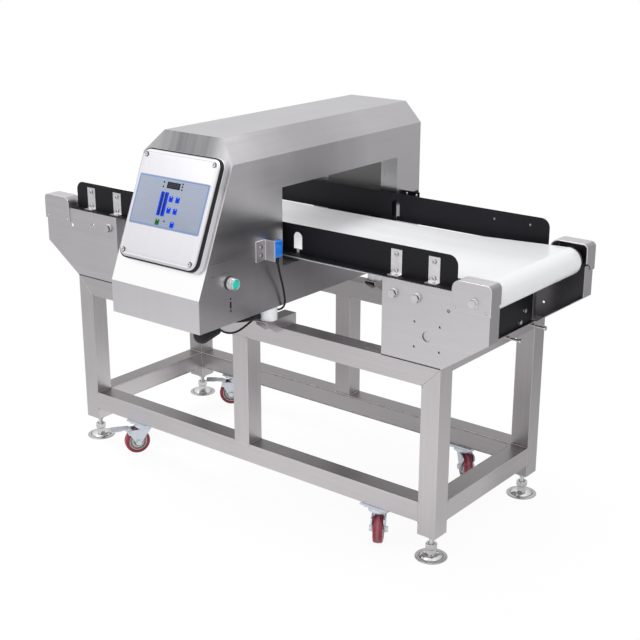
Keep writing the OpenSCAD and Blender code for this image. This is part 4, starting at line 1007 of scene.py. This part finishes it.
def make_reflector_face():
    """Upright sheet of the reflector bracket, seen over the far guide with its two screws."""
    piece("reflector_face", slab_between((141.5, REFLECTOR_Y, 704), (196, REFLECTOR_Y + 3, 741)),
          FRAME, INK_BLACK, MIDDLE)
    head = lathe([(0, 0), (3.3, 0), (3.3, 0.8), (2.4, 1.7), (0, 1.9)], 32)
    heads = [shifted(head, place=move(x, REFLECTOR_Y, z) @ turn(90, "X"))
             for x, z in ((157, 734), (188, 733))]
    piece("reflector_screws", merged(heads), FRAME, MATS["clip_steel"], crease=28)


def make_sensor_edge():
    """Bright front edge of the sensor's bracket."""
    piece("sensor_edge", slab_between((157.4, -299.2, 678.4), (164.0, -298.0, 717.8)), FRAME,
          MATS["clip_steel"], MIDDLE)


make_reflector_face()
make_washers()
make_seat_gap_shade()
make_drive_guard()
make_roller_rims()
make_sensor_edge()


# Weld beads in the stand's inner corners ------------------------------

BEAD_R, BEAD_STEP, RIPPLE, RIPPLE_CUTS, BEAD_END = 1.5, 0.9, 0.16, 3.2, 0.55


def bead(a, b):
    """A rippled bead between two points in millimetres."""
    start, end = at(*a), at(*b)
    cuts = max(4, round((end - start).length / (BEAD_STEP * MM)))
    path = [start.lerp(end, i / cuts) for i in range(cuts + 1)]
    ripple = [1 + RIPPLE * math.sin(2 * math.pi * i / RIPPLE_CUTS) for i in range(cuts + 1)]
    radii = [BEAD_R * MM * r * (BEAD_END if i in (0, cuts) else 1) for i, r in enumerate(ripple)]
    return sweep(path, radii, 6)


def make_beads():
    """Beads where the rails and middle posts meet the legs and each other."""
    beads = []
    for sx in (-1, 1):
        for sy in (-1, 1):
            in_x, out_x = sx * LEG_IN_X, sx * LEG_OUT_X
            in_y, out_y = sy * LEG_IN_Y, sy * LEG_OUT_Y
            for z in (LOW_RAIL_TOP, LOW_RAIL):
                beads.append(bead((in_x, in_y, z), (in_x, out_y, z)))
                beads.append(bead((in_x, in_y, z), (out_x, in_y, z)))
            beads.append(bead((in_x, in_y, LOW_RAIL), (in_x, in_y, LOW_RAIL_TOP)))
            beads.append(bead((in_x, in_y, TOP_RAIL), (in_x, out_y, TOP_RAIL)))
            for z in (LOW_RAIL_TOP, TOP_RAIL):
                beads.append(bead((sx * POST_HALF, in_y, z), (sx * POST_HALF, out_y, z)))
    piece("weld_beads", merged(beads), FRAME, BEAD, crease=80)


make_beads()


# CAD nodes: soft edges and materials ----------------------------------

SLOT_OF = {s["node"]: s["material_slot"] for s in frame["record"]["subparts"]}
GRAIN = {"mid_posts": "z", "lower_cross_rails": "y", "end_ties": "y", "head_brackets": "y"}
GRAIN.update({"leg_" + corner: "z" for corner in CORNERS})
STEEL_OF = {"hex_bolts": MATS["bolt_steel"], "small_screws": MATS["bolt_steel"],
            "guide_clips": MATS["clip_steel"]}
# Width of the rounded edges in millimetres, by slot and for the rest
EDGE_REST = 0.5
EDGE = {"stand_steel": 2.0, "plate_steel": 1.0, "head_steel": 1.6, "zinc": 0.8, "roller_steel": 0.6,
        "white_plastic": 1.0, "black_rubber": 1.0}
# Paler steel on the rounded edges, as painted highlights along them
EDGE_HIGHLIGHT = {"stand_steel": polished("tube_edge", (0.74, 0.72, 0.73), 0.34),
              "plate_steel": polished("plate_edge", (0.92, 0.91, 0.92), 0.30),
              "head_steel": polished("head_edge", (0.90, 0.89, 0.91), 0.30)}
# Edges sharper than this are rounded; on the head also the shallow fold of slope and nose
EDGE_DEGREES, FOLD_DEGREES = 30, 12
FLAT_DEGREES, WELD_GAP = 0.3, 0.02


def material_of(name, slot):
    if slot == "stand_steel":
        return STAND_BY_AXIS[GRAIN.get(name, "x")]
    return STEEL_OF.get(name, MATS[slot])


def dress(name, obj):
    """Gives a CAD node its material, and modifiers that weld, flatten and round it."""
    slot = SLOT_OF[name]
    obj.data.materials.clear()
    obj.data.materials.append(material_of(name, slot))
    if "custom_normal" in obj.data.attributes:
        obj.data.attributes.remove(obj.data.attributes["custom_normal"])
    for p in obj.data.polygons:
        p.use_smooth = True
    weld = obj.modifiers.new("weld", "WELD")
    weld.merge_threshold = WELD_GAP * MM
    flat = obj.modifiers.new("flat", "DECIMATE")
    flat.decimate_type = "DISSOLVE"
    flat.angle_limit = math.radians(FLAT_DEGREES)
    bev = obj.modifiers.new("edges", "BEVEL")
    bev.width = EDGE.get(slot, EDGE_REST) * MM
    bev.segments = 2
    bev.limit_method = "ANGLE"
    bev.angle_limit = math.radians(FOLD_DEGREES if slot == "head_steel" else EDGE_DEGREES)
    bev.harden_normals = True
    bev.use_clamp_overlap = True
    # The rounded edges take the painted highlight
    if slot in EDGE_HIGHLIGHT:
        obj.data.materials.append(EDGE_HIGHLIGHT[slot])
        bev.material = 1


for name, obj in frame["nodes"].items():
    dress(name, obj)


# Studio ---------------------------------------------------------------

# Strength of the light on dull faces, and for glossy ones the room's mean, least and slope
DULL_LIGHT, ROOM_MEAN, ROOM_LEAST = 0.91, 0.692, 0.35
ROOM_SLOPE = (-0.127, -0.148, 0.45)


def make_world():
    """Plain light; glossy faces see a soft room that is lighter in front and above."""
    world = bpy.data.worlds.new("studio")
    bpy.context.scene.world = world
    world.use_nodes = True
    tree = world.node_tree
    back = tree.nodes["Background"]

    path = add_node(tree, "ShaderNodeLightPath").outputs
    way = add_node(tree, "ShaderNodeTexCoord").outputs["Generated"]
    slope = add_node(tree, "ShaderNodeVectorMath", {0: way, 1: ROOM_SLOPE},
                     operation="DOT_PRODUCT").outputs["Value"]
    room = add_node(tree, "ShaderNodeMath", {0: slope, 1: ROOM_MEAN}, operation="ADD").outputs[0]
    room = add_node(tree, "ShaderNodeMath", {0: room, 1: ROOM_LEAST}, operation="MAXIMUM").outputs[0]
    glossy = add_node(tree, "ShaderNodeMix", {0: path["Is Glossy Ray"], 2: DULL_LIGHT, 3: room})
    seen = add_node(tree, "ShaderNodeMix", {0: path["Is Camera Ray"], 2: glossy.outputs[0], 3: 1.0})
    tree.links.new(seen.outputs[0], back.inputs["Strength"])
    back.inputs["Color"].default_value = (1, 1, 1, 1)


FLOOR_HALF = 16


def make_floor():
    """Pale floor that keeps the shadow; the camera and polished faces see it lit from within."""
    h = FLOOR_HALF
    mesh = bpy.data.meshes.new("floor")
    mesh.from_pydata([(-h, -h, 0), (h, -h, 0), (h, h, 0), (-h, h, 0)], [], [(0, 1, 2, 3)])
    obj = bpy.data.objects.new("floor", mesh)
    bpy.context.scene.collection.objects.link(obj)
    s = Shade("floor_paint", 0.75, Specular_IOR_Level=0.1)
    s.color(s.mix(s.noise((2, 2, 2), detail=2), (0.92, 0.92, 0.92), (0.94, 0.94, 0.94)))
    path = s.new("ShaderNodeLightPath").outputs
    place = s.new("ShaderNodeNewGeometry").outputs["Position"]
    away = s.new("ShaderNodeVectorMath", {0: place}, operation="LENGTH").outputs["Value"]
    far = s.span(away, 0.5, 1.2, 0.93, 1.0)
    # Behind the machine brushed steel sees a floor that is darker to the right, then lighter again
    side = s.new("ShaderNodeVectorMath", {0: place, 1: (0.62, 0.78, 0)},
                 operation="DOT_PRODUCT").outputs["Value"]
    near = s.span(side, -0.5, 0.5, 0.80, 0.60)
    dark = s.span(side, 1.1, 1.9, 0.0, -0.22)
    lift = s.span(side, 2.2, 4.0, 0.0, 0.30)
    level_behind = s.math("ADD", s.math("ADD", near, dark), lift)
    # In front of the machine it is brighter towards the right
    level_front = s.span(s.parts(place)[0], -2.0, 0.6, 0.56, 1.02)
    seen_by_steel = s.between(s.span(side, -0.3, 0.25), level_front, level_behind)
    level = s.between(path["Is Glossy Ray"], 1.0, seen_by_steel)
    glow = s.new("ShaderNodeEmission", {"Color": (1, 1, 1, 1), "Strength": level})
    seen = s.math("MAXIMUM", s.times(path["Is Camera Ray"], far), path["Is Glossy Ray"])
    mix = s.new("ShaderNodeMixShader", {0: seen, 1: s.shader.outputs[0], 2: glow.outputs[0]})
    s.tree.links.new(mix.outputs[0], s.tree.nodes["Material Output"].inputs["Surface"])
    mesh.materials.append(s.mat)


def softbox(name, place, aim, size, power):
    """A rectangular lamp, in metres and watts."""
    data = bpy.data.lights.new(name, "AREA")
    data.shape = "RECTANGLE"
    data.size, data.size_y = size
    data.energy = power
    obj = bpy.data.objects.new(name, data)
    bpy.context.scene.collection.objects.link(obj)
    obj.matrix_world = aimed(place, aim)
    return obj


make_world()
make_floor()
# Lamps: place, aim, size, power
softbox("key", (-1.2, -2.6, 3.4), (0, 0, 0.5), (2.4, 1.6), 14)
softbox("fill", (3.2, -0.8, 2.2), (0, 0, 0.5), (1.6, 2.0), 3)
softbox("overhead", (0.32, 0.10, 2.1), (0.24, 0.10, 0.67), (0.5, 0.7), 7)
through = softbox("through", (-1.75, 0.10, 1.28), (0.05, 0.10, 0.68), (0.5, 0.6), 30)
through.visible_glossy = False

bpy.context.scene.view_settings.view_transform = "Standard"
